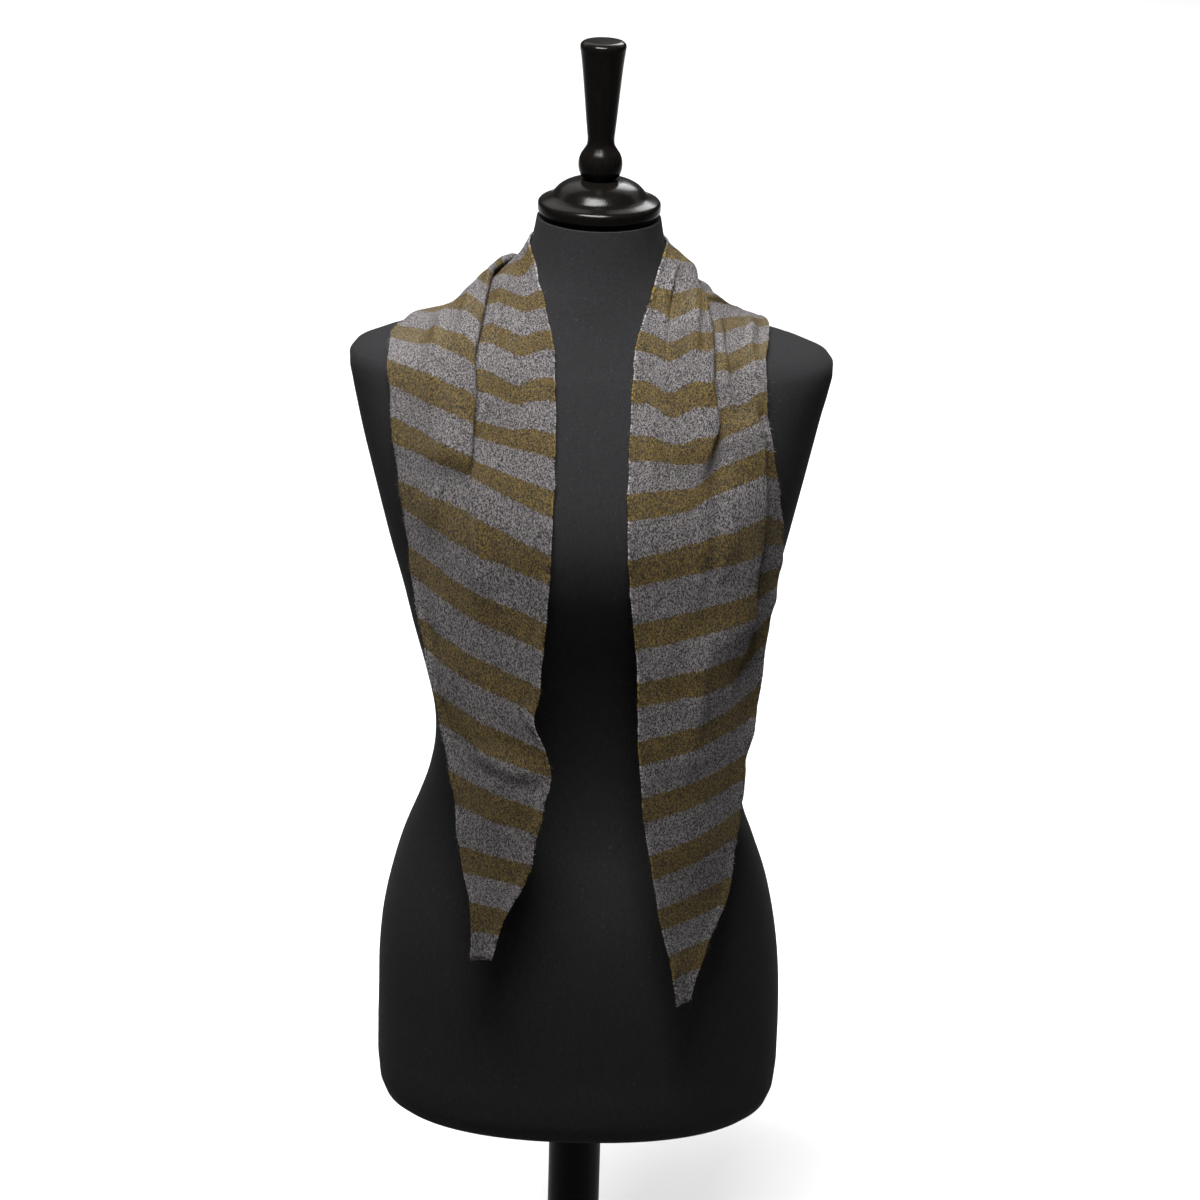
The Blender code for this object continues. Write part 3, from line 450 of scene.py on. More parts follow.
class Drape:
    """The scarf's middle surface: rows laid over the hang surface, pleated and folded."""

    def __init__(self, surface):
        self.surface = surface
        self.long_edge = laid_edge(surface, LONG_EDGE)
        self.outer_edge = laid_edge(surface, OUTER_EDGE)
        count = int(round((RIGHT_TIP - LEFT_TIP) * TAUT_ROWS_A_REPEAT)) + 1
        self.taut_rows = np.linspace(LEFT_TIP, RIGHT_TIP, count)
        lines = [self.taut(row) for row in self.taut_rows]
        self.lengths = np.array([reach_of(line)[-1] for line in lines])
        self.lines = np.array([evenly(line) for line in lines])
        self.pleats = [self.measured_pleat(table) for table in PLEATS]

    def on_edge(self, edge, row):
        rows, points = edge
        return self.surface.nearest(Vector(spline(rows, points, row)[0]))

    def taut(self, row):
        return taut_row(self.surface, self.on_edge(self.long_edge, row),
                        self.on_edge(self.outer_edge, row))

    def length(self, rows):
        return np.interp(rows, self.taut_rows, self.lengths)

    def taut_lines(self, rows):
        flat = spline(self.taut_rows, self.lines.reshape(len(self.lines), -1), rows)
        return flat.reshape(-1, TAUT_POINTS, 3)

    def spots(self, rows, shares):
        """Points of the hang surface at shares of the length of rows."""
        lines = self.taut_lines(rows)
        places = np.clip(shares, 0.0, 1.0) * (TAUT_POINTS - 1)
        cells = np.clip(places.astype(int), 0, TAUT_POINTS - 2)
        parts = (places - cells)[:, None]
        each = np.arange(len(lines))
        points = lines[each, cells] * (1.0 - parts) + lines[each, cells + 1] * parts
        return [self.surface.nearest(Vector(point)) for point in points]

    def row_at(self, point, row):
        """The row, near another, that passes through a point, and the share there."""
        rows = np.linspace(row - SEARCH_REACH, row + SEARCH_REACH, SEARCH_ROWS)
        rows = rows[(rows >= LEFT_TIP) & (rows <= RIGHT_TIP)]
        best = None
        for here, line in zip(rows, self.taut_lines(rows)):
            starts, steps = line[:-1], np.diff(line, axis=0)
            parts = np.sum((np.array(point) - starts) * steps, axis=1)
            parts = np.clip(parts / np.sum(steps * steps, axis=1), 0.0, 1.0)
            gaps = np.linalg.norm(starts + steps * parts[:, None] - np.array(point), axis=1)
            k = int(np.argmin(gaps))
            if best is None or gaps[k] < best[0]:
                best = gaps[k], here, (k + parts[k]) / (TAUT_POINTS - 1)
        return best[1], best[2]

    def measured_pleat(self, runs):
        """A pleat's rows, and its share, strength, overlap and two row shifts on each."""
        rows, values = [], []
        for side, row, strength, overlap, *places in knots_of(runs):
            inside, outside = (self.row_at(self.surface.seen(side, *place), row)
                               for place in (places[:2], places[2:]))
            share = 0.5 * (inside[1] + outside[1])
            shifts = (inside[0] - row, outside[0] - row) if strength else (0.0, 0.0)
            rows.append(row)
            values.append((share, strength, overlap, *shifts))
        return rows, values

    def pleat(self, index, row):
        rows, values = self.pleats[index]
        share, strength, overlap, inside, outside = spline(rows, values, row)[0]
        if not rows[0] < row < rows[-1]:
            return share, 0.0, LEAST_OVERLAP, 0.0, 0.0
        return share, strength, max(overlap, LEAST_OVERLAP), inside, outside

    def fold_share(self, index, row, even):
        """Share of a row at a pleat's visible fold: spread evenly where it is open."""
        share, strength = self.pleat(index, row)[:2]
        opened = 1.0 - smoothstep(abs(strength) / CLOSED_STRENGTH)
        return share + (even - share) * opened ** OPENS_LATE, opened

    def fold_shares(self, pleats, evens, row):
        """Shares of a row at its start, its visible folds and its end."""
        shares = [self.fold_share(pleat, row, even)[0] for pleat, even in zip(pleats, evens)]
        return [0.0] + shares + [1.0]

    def laid_pleats(self, row, pleats, panel_stations, turn_stations):
        """For each pleat of a row: even share, path, strength, overlap and row shifts."""
        length = float(self.length(row))
        turned_in = 2 * turn_stations + 3
        total = sum(panel_stations) + len(pleats) * turned_in
        middle = 0.5 * (turned_in - 1)
        laid, before = [], 0
        for pleat, count in zip(pleats, panel_stations):
            even = (before + count + middle) / (total - 1)
            before += count + turned_in
            _, strength, overlap, *shifts = self.pleat(pleat, row)
            share, opened = self.fold_share(pleat, row, even)
            spread = opened * length / (total - 1)
            path = [(share * length + x + spread * (k - middle), lift) for k, (x, lift)
                    in enumerate(pleat_path(strength, overlap, turn_stations))]
            laid.append((even, path, strength, overlap, shifts))
        return laid

    def stations(self, row, pleats, panel_stations, turn_stations):
        """Section of one row: (share of its length, lift in mm, laid row), in order."""
        length = float(self.length(row))
        laid_pleats = self.laid_pleats(row, pleats, panel_stations, turn_stations)
        section = flat_section(length, [laid[1] for laid in laid_pleats], panel_stations)
        for index, (_, *pleat) in enumerate(laid_pleats):
            lay_beside_pleat(section, index, length, *pleat)
        evens = [laid[0] for laid in laid_pleats]
        knots = self.fold_shares(pleats, evens, row)
        finished = []
        for along, lift, shift, *_ in section:
            laid, share = row + shift, along / length
            if shift:
                share = float(np.interp(share, knots, self.fold_shares(pleats, evens, laid)))
            fold_lift, slide = soft_fold(laid, share * length, length)
            laid += (-slide if row < MIDDLE_ROW else slide) / STRIPE_REPEAT
            finished.append((share, lift + fold_lift, laid))
        return finished

    def row(self, row, pleats, panel_stations, turn_stations):
        """Points of one row on the wall's middle."""
        section = np.array(self.stations(row, pleats, panel_stations, turn_stations))
        spots = self.spots(section[:, 2], section[:, 0])
        lifts = CLOTH_CLEARANCE + 0.5 * CLOTH_WALL + section[:, 1]
        return [spot + self.surface.normal(spot) * float(lift) * MM
                for spot, lift in zip(spots, lifts)]


NECK_END = FORM_ZERO + NECK_TOP
PLATE_BOTTOM = NECK_END + PIECE_GAP
CAP_BOTTOM = PLATE_BOTTOM + PLATE_HEIGHT + PIECE_GAP
# turned cap: radius, height above its underside
CAP_PROFILE = (
    (0, 0), (47.5, 0), (48.6, 1.2), (48.9, 4.5), (48.7, 7.8), (47.6, 9.3),
    (44.8, 10.6), (41.2, 12.1), (38.2, 14), (36, 16.6), (32.6, 20.2),
    (27.5, 23.4), (21, 25.6), (15, 26.6), (0, 26.6),
)
# turned finial: radius, height above its underside
FINIAL_PROFILE = (
    (0, 0), (13.6, 0), (15.6, 3.4), (17, 7.4), (17.5, 11.6), (17.1, 16),
    (15.6, 20.2), (13.2, 23.9), (11.2, 27.3), (10.7, 31), (11.2, 38),
    (12.2, 48), (13.3, 60), (14.6, 74), (16.2, 90), (17.7, 102),
    (18.2, 105.5), (17.9, 107.8), (16.4, 109.3), (9, 110.4), (0, 110.7),
)
# collar round the pole's foot, with the pole's hole: radius, height above the base
COLLAR_HOLE = POLE_RADIUS + PIECE_GAP
COLLAR_PROFILE = (
    (COLLAR_HOLE, 0), (42, 0), (40, 5), (34, 12), (32, 43),
    (29, 46), (COLLAR_HOLE, 46),
)


def raised(profile, height):
    return [(radius, z + height) for radius, z in profile]


# ---- meshes
# degrees up to which an edge is shaded smoothly
PLAIN_SMOOTH, JERSEY_SMOOTH, SCARF_SMOOTH = 40.0, 50.0, 75.0


def added(name, data):
    thing = bpy.data.objects.new(name, data)
    bpy.context.scene.collection.objects.link(thing)
    return thing


def shown_piece(name, mesh, smooth_angle=PLAIN_SMOOTH):
    """New object from a finished bmesh, shaded smoothly."""
    data = bpy.data.meshes.new(name)
    mesh.to_mesh(data)
    mesh.free()
    data.shade_smooth()
    data.set_sharp_from_angle(angle=math.radians(smooth_angle))
    return added(name, data)


def dress(piece, material, slot, *nodes):
    """Give a piece its material and its body, and hide the nodes that it stands for; slot is
    not used.
    """
    piece.data.materials.clear()
    piece.data.materials.append(material)
    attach(piece, "root")
    if nodes:
        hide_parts(*nodes)
    return piece


# ---- shader shorthand
class Nodes:
    """Short way of writing a material's node tree."""

    def __init__(self, name):
        self.material = bpy.data.materials.new(name)
        self.material.use_nodes = True
        self.tree = self.material.node_tree
        self.shader = self.tree.nodes["Principled BSDF"]

    def add(self, kind, **settings):
        node = self.tree.nodes.new(kind)
        for key, value in settings.items():
            setattr(node, key, value)
        return node

    def put(self, value, socket):
        if isinstance(value, bpy.types.NodeSocket):
            self.tree.links.new(value, socket)
        else:
            socket.default_value = value

    def fed(self, node, *values):
        """The outputs of a node whose first inputs take these values."""
        for value, socket in zip(values, node.inputs):
            self.put(value, socket)
        return node.outputs

    def math(self, operation, *values):
        return self.fed(self.add("ShaderNodeMath", operation=operation), *values)[0]

    def plus(self, first, second):
        return self.math("ADD", first, second)

    def times(self, first, second):
        return self.math("MULTIPLY", first, second)

    def vector(self, x, y, z=0.0):
        return self.fed(self.add("ShaderNodeCombineXYZ"), x, y, z)[0]

    def split(self, vector):
        return self.fed(self.add("ShaderNodeSeparateXYZ"), vector)

    def white(self, vector):
        node = self.add("ShaderNodeTexWhiteNoise", noise_dimensions="3D")
        self.put(vector, node.inputs["Vector"])
        return node.outputs["Value"]

    def noise(self, vector, scale, detail=2.0, roughness=0.5):
        node = self.add("ShaderNodeTexNoise")
        self.put(vector, node.inputs["Vector"])
        node.inputs["Scale"].default_value = scale
        node.inputs["Detail"].default_value = detail
        node.inputs["Roughness"].default_value = roughness
        return node.outputs["Fac"]

    def between(self, value, low, high, to_low=0.0, to_high=1.0):
        return self.fed(self.add("ShaderNodeMapRange"), value, low, high, to_low, to_high)[0]

    def mix(self, part, first, second, blend="MIX"):
        node = self.add("ShaderNodeMix", data_type="RGBA", blend_type=blend)
        self.put(part, node.inputs["Factor"])
        for value, socket in ((first, node.inputs[6]), (second, node.inputs[7])):
            self.put((*value, 1.0) if isinstance(value, tuple) else value, socket)
        return node.outputs[2]

    def bump(self, height, distance, strength=1.0, normal=None):
        node = self.add("ShaderNodeBump")
        self.put(height, node.inputs["Height"])
        node.inputs["Distance"].default_value = distance
        node.inputs["Strength"].default_value = strength
        if normal is not None:
            self.put(normal, node.inputs["Normal"])
        return node.outputs[0]

    def surface(self, colour=None, normal=None, roughness=None, **settings):
        """Link the linked inputs and set the uniform ones on the shader itself."""
        for value, name in ((colour, "Base Color"), (normal, "Normal"),
                            (roughness, "Roughness")):
            if value is not None:
                self.put(value, self.shader.inputs[name])
        for name, value in settings.items():
            self.shader.inputs[name.replace("_", " ")].default_value = value
        return self.material


# ---- materials
WALE = 0.0014              # m, width of one column of stitches, along a stripe
COURSE = 0.0011            # m, height of one row of stitches, across the stripes
OLIVE_HALF = 0.215         # of a repeat
BORDER_STAGGER, BORDER_TOOTH = 0.034, 0.036
BORDER_SOFTNESS = 0.004    # of a repeat, to each side of the border
COURSE_SLANT = 1.6         # courses that a stitch's leg climbs for each column's width
GREY_LIGHT, GREY_DARK = (0.128, 0.116, 0.117), (0.0065, 0.006, 0.0062)
OLIVE_LIGHT, OLIVE_DARK = (0.086, 0.0560, 0.0110), (0.0042, 0.0028, 0.0006)
FIBRE_GREY, FIBRE_OLIVE = (0.21, 0.20, 0.195), (0.13, 0.10, 0.045)
# noises: scale, detail, roughness
STRAND_NOISE, CLOUD_NOISE = (1300.0, 3.0, 0.7), (520.0, 3.0, 0.6)
# how much of the marl each gives, the part of its range that is used, and its curve
STITCH_MARL, STRAND_MARL, CLOUD_MARL = 0.42, 0.28, 0.30
MARL_LOW, MARL_HIGH, MARL_CURVE = 0.34, 0.66, 1.3
HUMP_CURVE = 0.6           # below 1 makes the stitches' legs fuller
KNOT_DEPTH, STRAND_DEPTH = 0.6, 0.5    # weights in the relief
CLOUD_RELIEF, STITCH_RELIEF = 0.0016, 0.0011   # m

RIB_PHASE = 170.0          # for each radian round the pole's axis; every pi makes a rib
JERSEY_COURSE = 0.0009     # m
JERSEY_DARK, JERSEY_LIGHT = (0.0035, 0.0035, 0.0037), (0.0095, 0.0095, 0.010)
LINT = (0.028, 0.028, 0.029)
WOOD_STRETCH = 6.0         # of the grain along the pole's axis
WOOD_DARK, WOOD_LIGHT = (0.0006, 0.0005, 0.0004), (0.0020, 0.0017, 0.0015)
METAL_DARK, METAL_LIGHT = (0.0008, 0.0008, 0.0008), (0.0018, 0.0018, 0.0018)
FLOOR_DARK, FLOOR_LIGHT = (0.47, 0.47, 0.47), (0.50, 0.50, 0.50)


def stripe_parts(n):
    """Sockets: flat cut, along, across, leg of the stitch, and 1 where the yarn is grey."""
    uv = n.add("ShaderNodeUVMap", uv_map="flat_cut").outputs[0]
    along, across, _ = n.split(uv)
    wale = n.math("DIVIDE", across, WALE)
    leg = n.math("ABSOLUTE", n.math("SUBTRACT", n.math("FRACT", wale), 0.5))
    # comb-like borders: each column of stitches ends a little higher or lower
    repeat = n.math("DIVIDE", along, STRIPE_REPEAT * MM)
    border = n.math("ROUND", n.times(repeat, 2.0))
    stagger = n.white(n.vector(n.math("FLOOR", wale), border))
    stagger = n.times(n.math("SUBTRACT", stagger, 0.5), BORDER_STAGGER)
    shifted = n.plus(repeat, n.plus(stagger, n.times(leg, BORDER_TOOTH)))
    apart = n.math("ABSOLUTE", n.math("SUBTRACT", shifted, n.math("ROUND", shifted)))
    grey = n.between(apart, OLIVE_HALF - BORDER_SOFTNESS, OLIVE_HALF + BORDER_SOFTNESS)
    return uv, along, wale, leg, grey


def knit_material():
    n = Nodes("striped_knit")
    uv, along, wale, leg, grey = stripe_parts(n)
    slanted = n.plus(n.math("DIVIDE", along, COURSE), n.times(leg, COURSE_SLANT))
    course_index, course_part = n.math("FLOOR", slanted), n.math("FRACT", slanted)

    # marled yarn: a light and a dark strand show by turns
    side = n.math("FLOOR", n.times(wale, 2.0))
    stitch = n.white(n.vector(side, course_index))
    strand = n.between(n.noise(uv, *STRAND_NOISE), 0.32, 0.68)
    cloud = n.between(n.noise(uv, *CLOUD_NOISE), 0.3, 0.7)
    marl = n.plus(n.times(stitch, STITCH_MARL), n.times(strand, STRAND_MARL))
    marl = n.plus(marl, n.times(cloud, CLOUD_MARL))
    lit = n.math("POWER", n.between(marl, MARL_LOW, MARL_HIGH), MARL_CURVE)
    olive_colour = n.mix(lit, OLIVE_DARK, OLIVE_LIGHT)
    grey_colour = n.mix(lit, GREY_DARK, GREY_LIGHT)
    colour = n.mix(grey, olive_colour, grey_colour)

    # V-shaped stitches: two humps in each column, broken by every course
    hump = n.math("SINE", n.times(leg, 2.0 * math.pi))
    hump = n.math("POWER", n.math("ABSOLUTE", hump), HUMP_CURVE)
    knot = n.math("SINE", n.times(course_part, math.pi))
    height = n.times(hump, n.plus(n.times(knot, KNOT_DEPTH), 1.0 - KNOT_DEPTH))
    height = n.plus(height, n.times(strand, STRAND_DEPTH))
    place = n.add("ShaderNodeNewGeometry").outputs["Position"]
    normal = n.bump(n.noise(place, *CLOUD_NOISE), CLOUD_RELIEF, 0.9)
    normal = n.bump(height, STITCH_RELIEF, 1.0, normal)
    return n.surface(colour, normal, Roughness=0.95, Sheen_Weight=0.04,
                     Sheen_Roughness=0.5, Specular_IOR_Level=0.05)


def fibre_material():
    """Loose fibres: the yarn's lighter strands."""
    n = Nodes("loose_wool")
    uv, _, _, _, grey = stripe_parts(n)
    part = n.white(n.vector(*n.split(uv)[:2]))
    olive = n.mix(part, OLIVE_LIGHT, FIBRE_OLIVE)
    plain = n.mix(part, GREY_LIGHT, FIBRE_GREY)
    return n.surface(n.mix(grey, olive, plain), Roughness=0.8, Specular_IOR_Level=0.2)


def jersey_material():
    n = Nodes("black_jersey")
    place = n.add("ShaderNodeNewGeometry").outputs["Position"]
    x, y, z = n.split(place)
    angle = n.math("ARCTAN2", x, n.times(y, -1.0))
    rib = n.math("ABSOLUTE", n.math("SINE", n.times(angle, RIB_PHASE)))
    loops = n.math("SINE", n.times(z, 2.0 * math.pi / JERSEY_COURSE))
    grain = n.noise(place, 1400.0, 2.0, 0.7)
    speck = n.between(n.noise(place, 420.0, 1.0), 0.70, 0.78)
    height = n.plus(n.times(rib, 0.6), n.times(loops, 0.2))
    height = n.plus(height, n.times(grain, 0.6))
    tone = n.mix(n.between(grain, 0.3, 0.7), JERSEY_DARK, JERSEY_LIGHT)
    tone = n.mix(n.times(speck, 0.3), tone, LINT)
    normal = n.bump(height, 0.00035, 0.5)
    return n.surface(tone, normal, Roughness=0.8, Sheen_Weight=0.005,
                     Sheen_Roughness=0.45, Specular_IOR_Level=0.01)


def lacquer_material():
    n = Nodes("black_lacquered_wood")
    place = n.add("ShaderNodeTexCoord").outputs["Object"]
    x, y, z = n.split(place)
    stretched = n.vector(n.times(x, WOOD_STRETCH), n.times(y, WOOD_STRETCH), z)
    grain = n.noise(stretched, 60.0, 4.0, 0.6)
    tone = n.mix(grain, WOOD_DARK, WOOD_LIGHT)
    rough = n.between(n.noise(place, 45.0, 3.0), 0.3, 0.7, 0.17, 0.24)
    normal = n.bump(grain, 0.0002, 0.25)
    return n.surface(tone, normal, rough, Specular_IOR_Level=0.035)


def metal_material():
    n = Nodes("black_powder_coat")
    place = n.add("ShaderNodeTexCoord").outputs["Object"]
    pits = n.noise(place, 900.0, 3.0, 0.6)
    tone = n.mix(n.noise(place, 12.0, 3.0), METAL_DARK, METAL_LIGHT)
    rough = n.between(pits, 0.3, 0.7, 0.38, 0.5)
    normal = n.bump(pits, 0.0001, 0.4)
    return n.surface(tone, normal, rough, Specular_IOR_Level=0.02)


def floor_material():
    n = Nodes("pale_floor")
    place = n.add("ShaderNodeTexCoord").outputs["Object"]
    tone = n.mix(n.noise(place, 0.7, 2.0), FLOOR_DARK, FLOOR_LIGHT)
    return n.surface(tone, Roughness=0.9, Specular_IOR_Level=0.1)


# ---- form
FINE_SEGMENTS = 160
FINE_STEP = 7.0            # mm between the form's sections
CURVE_STEP = 1.6           # mm between the points of a turned curve


def skin(mesh, rings, closed=False):
    """Faces between rings of vertices; a ring of one vertex is a tip."""
    count = max(len(ring) for ring in rings)
    for lower, upper in zip(rings, rings[1:] + rings[:1] * closed):
        for k in range(count):
            after = (k + 1) % count
            corners = (lower[k % len(lower)], lower[after % len(lower)],
                       upper[after % len(upper)], upper[k % len(upper)])
            mesh.faces.new(list(dict.fromkeys(corners)))


def fine_torso():
    """The form's jersey, with more sections than its solid."""
    heights = [ring[0] for ring in TORSO_RINGS]
    for low, high in zip(heights[:], heights[1:]):
        extra = int((high - low) // FINE_STEP)
        heights += [low + (high - low) * (k + 1) / (extra + 1) for k in range(extra)]
    mesh = bmesh.new()
    rings = []
    for height in sorted(heights):
        half, shift, front, back, power = torso_sizes(height)
        ring = []
        for k in range(FINE_SEGMENTS):
            angle = 2.0 * math.pi * k / FINE_SEGMENTS
            side, fore = (math.copysign(abs(part) ** (2.0 / power), part)
                          for part in (math.sin(angle), math.cos(angle)))
            depth = front if fore > 0.0 else back
            ring.append(mesh.verts.new(((shift + half * side) * MM, -depth * fore * MM,
                                        (FORM_ZERO + height) * MM)))
        rings.append(ring)
    skin(mesh, rings)
    mesh.faces.new(rings[0][::-1])
    mesh.faces.new(rings[-1])
    return shown_piece("form", mesh, JERSEY_SMOOTH)


def fine_turned(name, profile, closed_ring=False):
    """Solid of revolution from (radius, height) points in mm, on the pole's axis."""
    mesh = bmesh.new()
    rings = []
    for radius, height in profile:
        count = TURNED_SEGMENTS if radius else 1
        angles = [2.0 * math.pi * k / count for k in range(count)]
        rings.append([mesh.verts.new((radius * math.cos(a) * MM, radius * math.sin(a) * MM,
                                      height * MM)) for a in angles])
    skin(mesh, rings, closed_ring)
    bmesh.ops.recalc_face_normals(mesh, faces=mesh.faces)
    return shown_piece(name, mesh)


def rounded(profile, bottom):
    """A turned profile, raised, with a closely spaced smooth curve between its tips."""
    first, *edge, last = raised(profile, bottom)
    points = np.array(edge, float)
    reach = np.concatenate([[0.0], np.cumsum(np.hypot(*np.diff(points, axis=0).T))])
    places = np.linspace(0.0, reach[-1], int(reach[-1] / CURVE_STEP))
    curve = spline(reach, points, np.unique(np.concatenate([places, reach])))
    return [first] + [(max(float(r), 0.0), float(z)) for r, z in curve] + [last]


def rod(radius, low, high):
    return (0.0, low), (radius, low), (radius, high), (0.0, high)


def make_form():
    """The form, its turned top and its stand; gives back the form's jersey."""
    materials = {"black_wood": lacquer_material(), "black_metal": metal_material()}
    form = dress(fine_torso(), jersey_material(), "form_jersey", "torso")
    foot = BASE_HEIGHT + PIECE_GAP
    finial_bottom = CAP_BOTTOM + CAP_PROFILE[-1][1] + PIECE_GAP
    edge = BASE_EDGE * EDGE_BULGE
    base = ((0.0, 0.0), (BASE_RADIUS, 0.0), (BASE_RADIUS, BASE_HEIGHT - BASE_EDGE),
            (BASE_RADIUS - edge, BASE_HEIGHT - edge),
            (BASE_RADIUS - BASE_EDGE, BASE_HEIGHT), (0.0, BASE_HEIGHT))
    for name, node, slot, profile in (
            ("cap", "neck_cap", "black_wood", rounded(CAP_PROFILE, CAP_BOTTOM)),
            ("handle", "finial", "black_wood", rounded(FINIAL_PROFILE, finial_bottom)),
            ("plate", "neck_plate", "black_metal",
             rod(PLATE_RADIUS, PLATE_BOTTOM, PLATE_BOTTOM + PLATE_HEIGHT)),
            ("round_base", "base", "black_metal", base),
            ("collar", "base_collar", "black_metal", raised(COLLAR_PROFILE, foot)),
            ("stand_pole", "pole", "black_metal",
             rod(POLE_RADIUS, foot, FORM_ZERO + TORSO_RINGS[0][0] - PIECE_GAP))):
        piece = fine_turned(name, profile, node == "base_collar")
        dress(piece, materials[slot], slot, node)
    return form


# ---- scarf
ROWS_A_REPEAT = 12
FINE_TURN = 5
LEFT_PANELS = (40, 50)
RIGHT_PANELS = (34, 23, 20)
SMOOTHING_PASSES = 2
SMOOTHING = 0.5            # share that a point takes from its four neighbours in a pass
THIN_WALL = 1.7

# Unevenness of the cloth: waves a mm, place in the noise, height in mm.
WAVES = ((0.030, 3.1, 0.9), (0.075, 7.7, 0.35))
EDGE_ROLL = 9.0            # mm of cloth that rolls up along each edge
EDGE_LIFT = 1.8
ROLL_LEVEL, ROLL_SWING = 0.8, 0.9  # of that lift, and how much the wave changes it
WAVE_ASIDE, RIPPLE_ASIDE = 1.1, 0.6    # mm that the wave and the ripple move an edge
EDGE_WAVE, EDGE_RIPPLE = (0.045, 1.3), (0.16, 9.3)     # waves a mm, place in the noise
OUTER_NOISE = 50.0         # the outer edge's place in the noise; the long edge's is 0

NECK_ROW = 15.3            # round this row the long edge lies against the neck
NECK_REACH, NECK_FADE = 4.6, 2.0   # rows beside the neck, and rows over which this ends
NECK_BAND = 0.045          # m of cloth beside the long edge that takes part
NECK_AIR = 0.0026          # m between the form and the cloth's middle surface there
# change of the edge's roll there (above 1 turns it inwards), its reach and fade in rows
UNROLLED, UNROLL_REACH, UNROLL_FADE = 1.5, 2.5, 2.0


def scarf_grid(drape):
    """Rows and points of the whole scarf's middle surface, in one grid."""
    count = int(round((RIGHT_TIP - LEFT_TIP) * ROWS_A_REPEAT))
    rows = np.linspace(LEFT_TIP, RIGHT_TIP, count + 1)
    lines = [drape.row(row, (0,), LEFT_PANELS, FINE_TURN) if row <= MIDDLE_ROW
             else drape.row(row, (1, 2), RIGHT_PANELS, FINE_TURN) for row in rows]
    return rows, np.array([[tuple(point) for point in line] for line in lines])


def smoothed(grid):
    for _ in range(SMOOTHING_PASSES):
        inner = grid.copy()
        inner[1:-1, 1:-1] = (grid[1:-1, 1:-1] * (1.0 - SMOOTHING)
                             + (grid[:-2, 1:-1] + grid[2:, 1:-1]
                                + grid[1:-1, :-2] + grid[1:-1, 2:]) * SMOOTHING / 4.0)
        grid = inner
    return grid


def unit(vectors):
    return vectors / np.maximum(np.linalg.norm(vectors, axis=2, keepdims=True), 1e-12)


def normals_of(grid):
    """Outward directions; the two end rows are narrow, so they take their neighbours'."""
    normals = unit(np.cross(np.gradient(grid, axis=0), np.gradient(grid, axis=1)))
    for end, inside in ((0, 2), (1, 2), (-1, -3), (-2, -3)):
        normals[end] = normals[inside]
    return normals


def across_cloth(grid):
    """Length in metres along each row from the long edge, over every fold."""
    steps = np.linalg.norm(np.diff(grid, axis=1), axis=2)
    return np.concatenate([np.zeros((len(grid), 1)), np.cumsum(steps, axis=1)], axis=1)


def uneven(across, rows):
    """Slight unevenness of knitted cloth, and its rolled and wavering edges, in metres."""
    lift, slide = np.zeros(across.shape), np.zeros(across.shape)
    for i, row in enumerate(rows):
        along, width = row * STRIPE_REPEAT, across[i, -1]
        beside = (abs(row - NECK_ROW) - UNROLL_REACH) / UNROLL_FADE
        at_neck = 1.0 - UNROLLED * smoothstep(1.0 - beside)
        for k, place in enumerate(across[i]):
            lift[i, k] = sum(noise.noise((along * scale, place / MM * scale, spot)) * height
                             for scale, spot, height in WAVES)
            outer = place >= 0.5 * width
            roll = smoothstep(1.0 - min(place, width - place) / MM / EDGE_ROLL)
            wave, small = (noise.noise((along * scale, OUTER_NOISE * outer, spot))
                           for scale, spot in (EDGE_WAVE, EDGE_RIPPLE))
            swing = roll * EDGE_LIFT * (ROLL_LEVEL + ROLL_SWING * wave)
            lift[i, k] += swing if outer else swing * at_neck
            aside = roll * (WAVE_ASIDE * wave + RIPPLE_ASIDE * small)
            slide[i, k] = aside if outer else -aside
    return lift * MM, slide * MM


def hug_neck(grid, rows, form):
    """Grid with the long edge laid against the neck instead of standing off it."""
    tree = BVHTree.FromPolygons([v.co for v in form.data.vertices],
                                [tuple(face.vertices) for face in form.data.polygons])
    across = across_cloth(grid)
    laid = grid.copy()
    for i, row in enumerate(rows):
        beside = smoothstep((NECK_REACH - abs(row - NECK_ROW)) / NECK_FADE)
        if beside == 0.0:
            continue
        for k in range(grid.shape[1]):
            near = beside * smoothstep(1.0 - across[i, k] / NECK_BAND)
            if near == 0.0:
                continue
            place, _, _, far = tree.find_nearest(Vector(grid[i, k]))
            if far > NECK_AIR:
                close = np.array(place)
                kept = far + (NECK_AIR - far) * near
                laid[i, k] = close + (grid[i, k] - close) * (kept / far)
    return laid


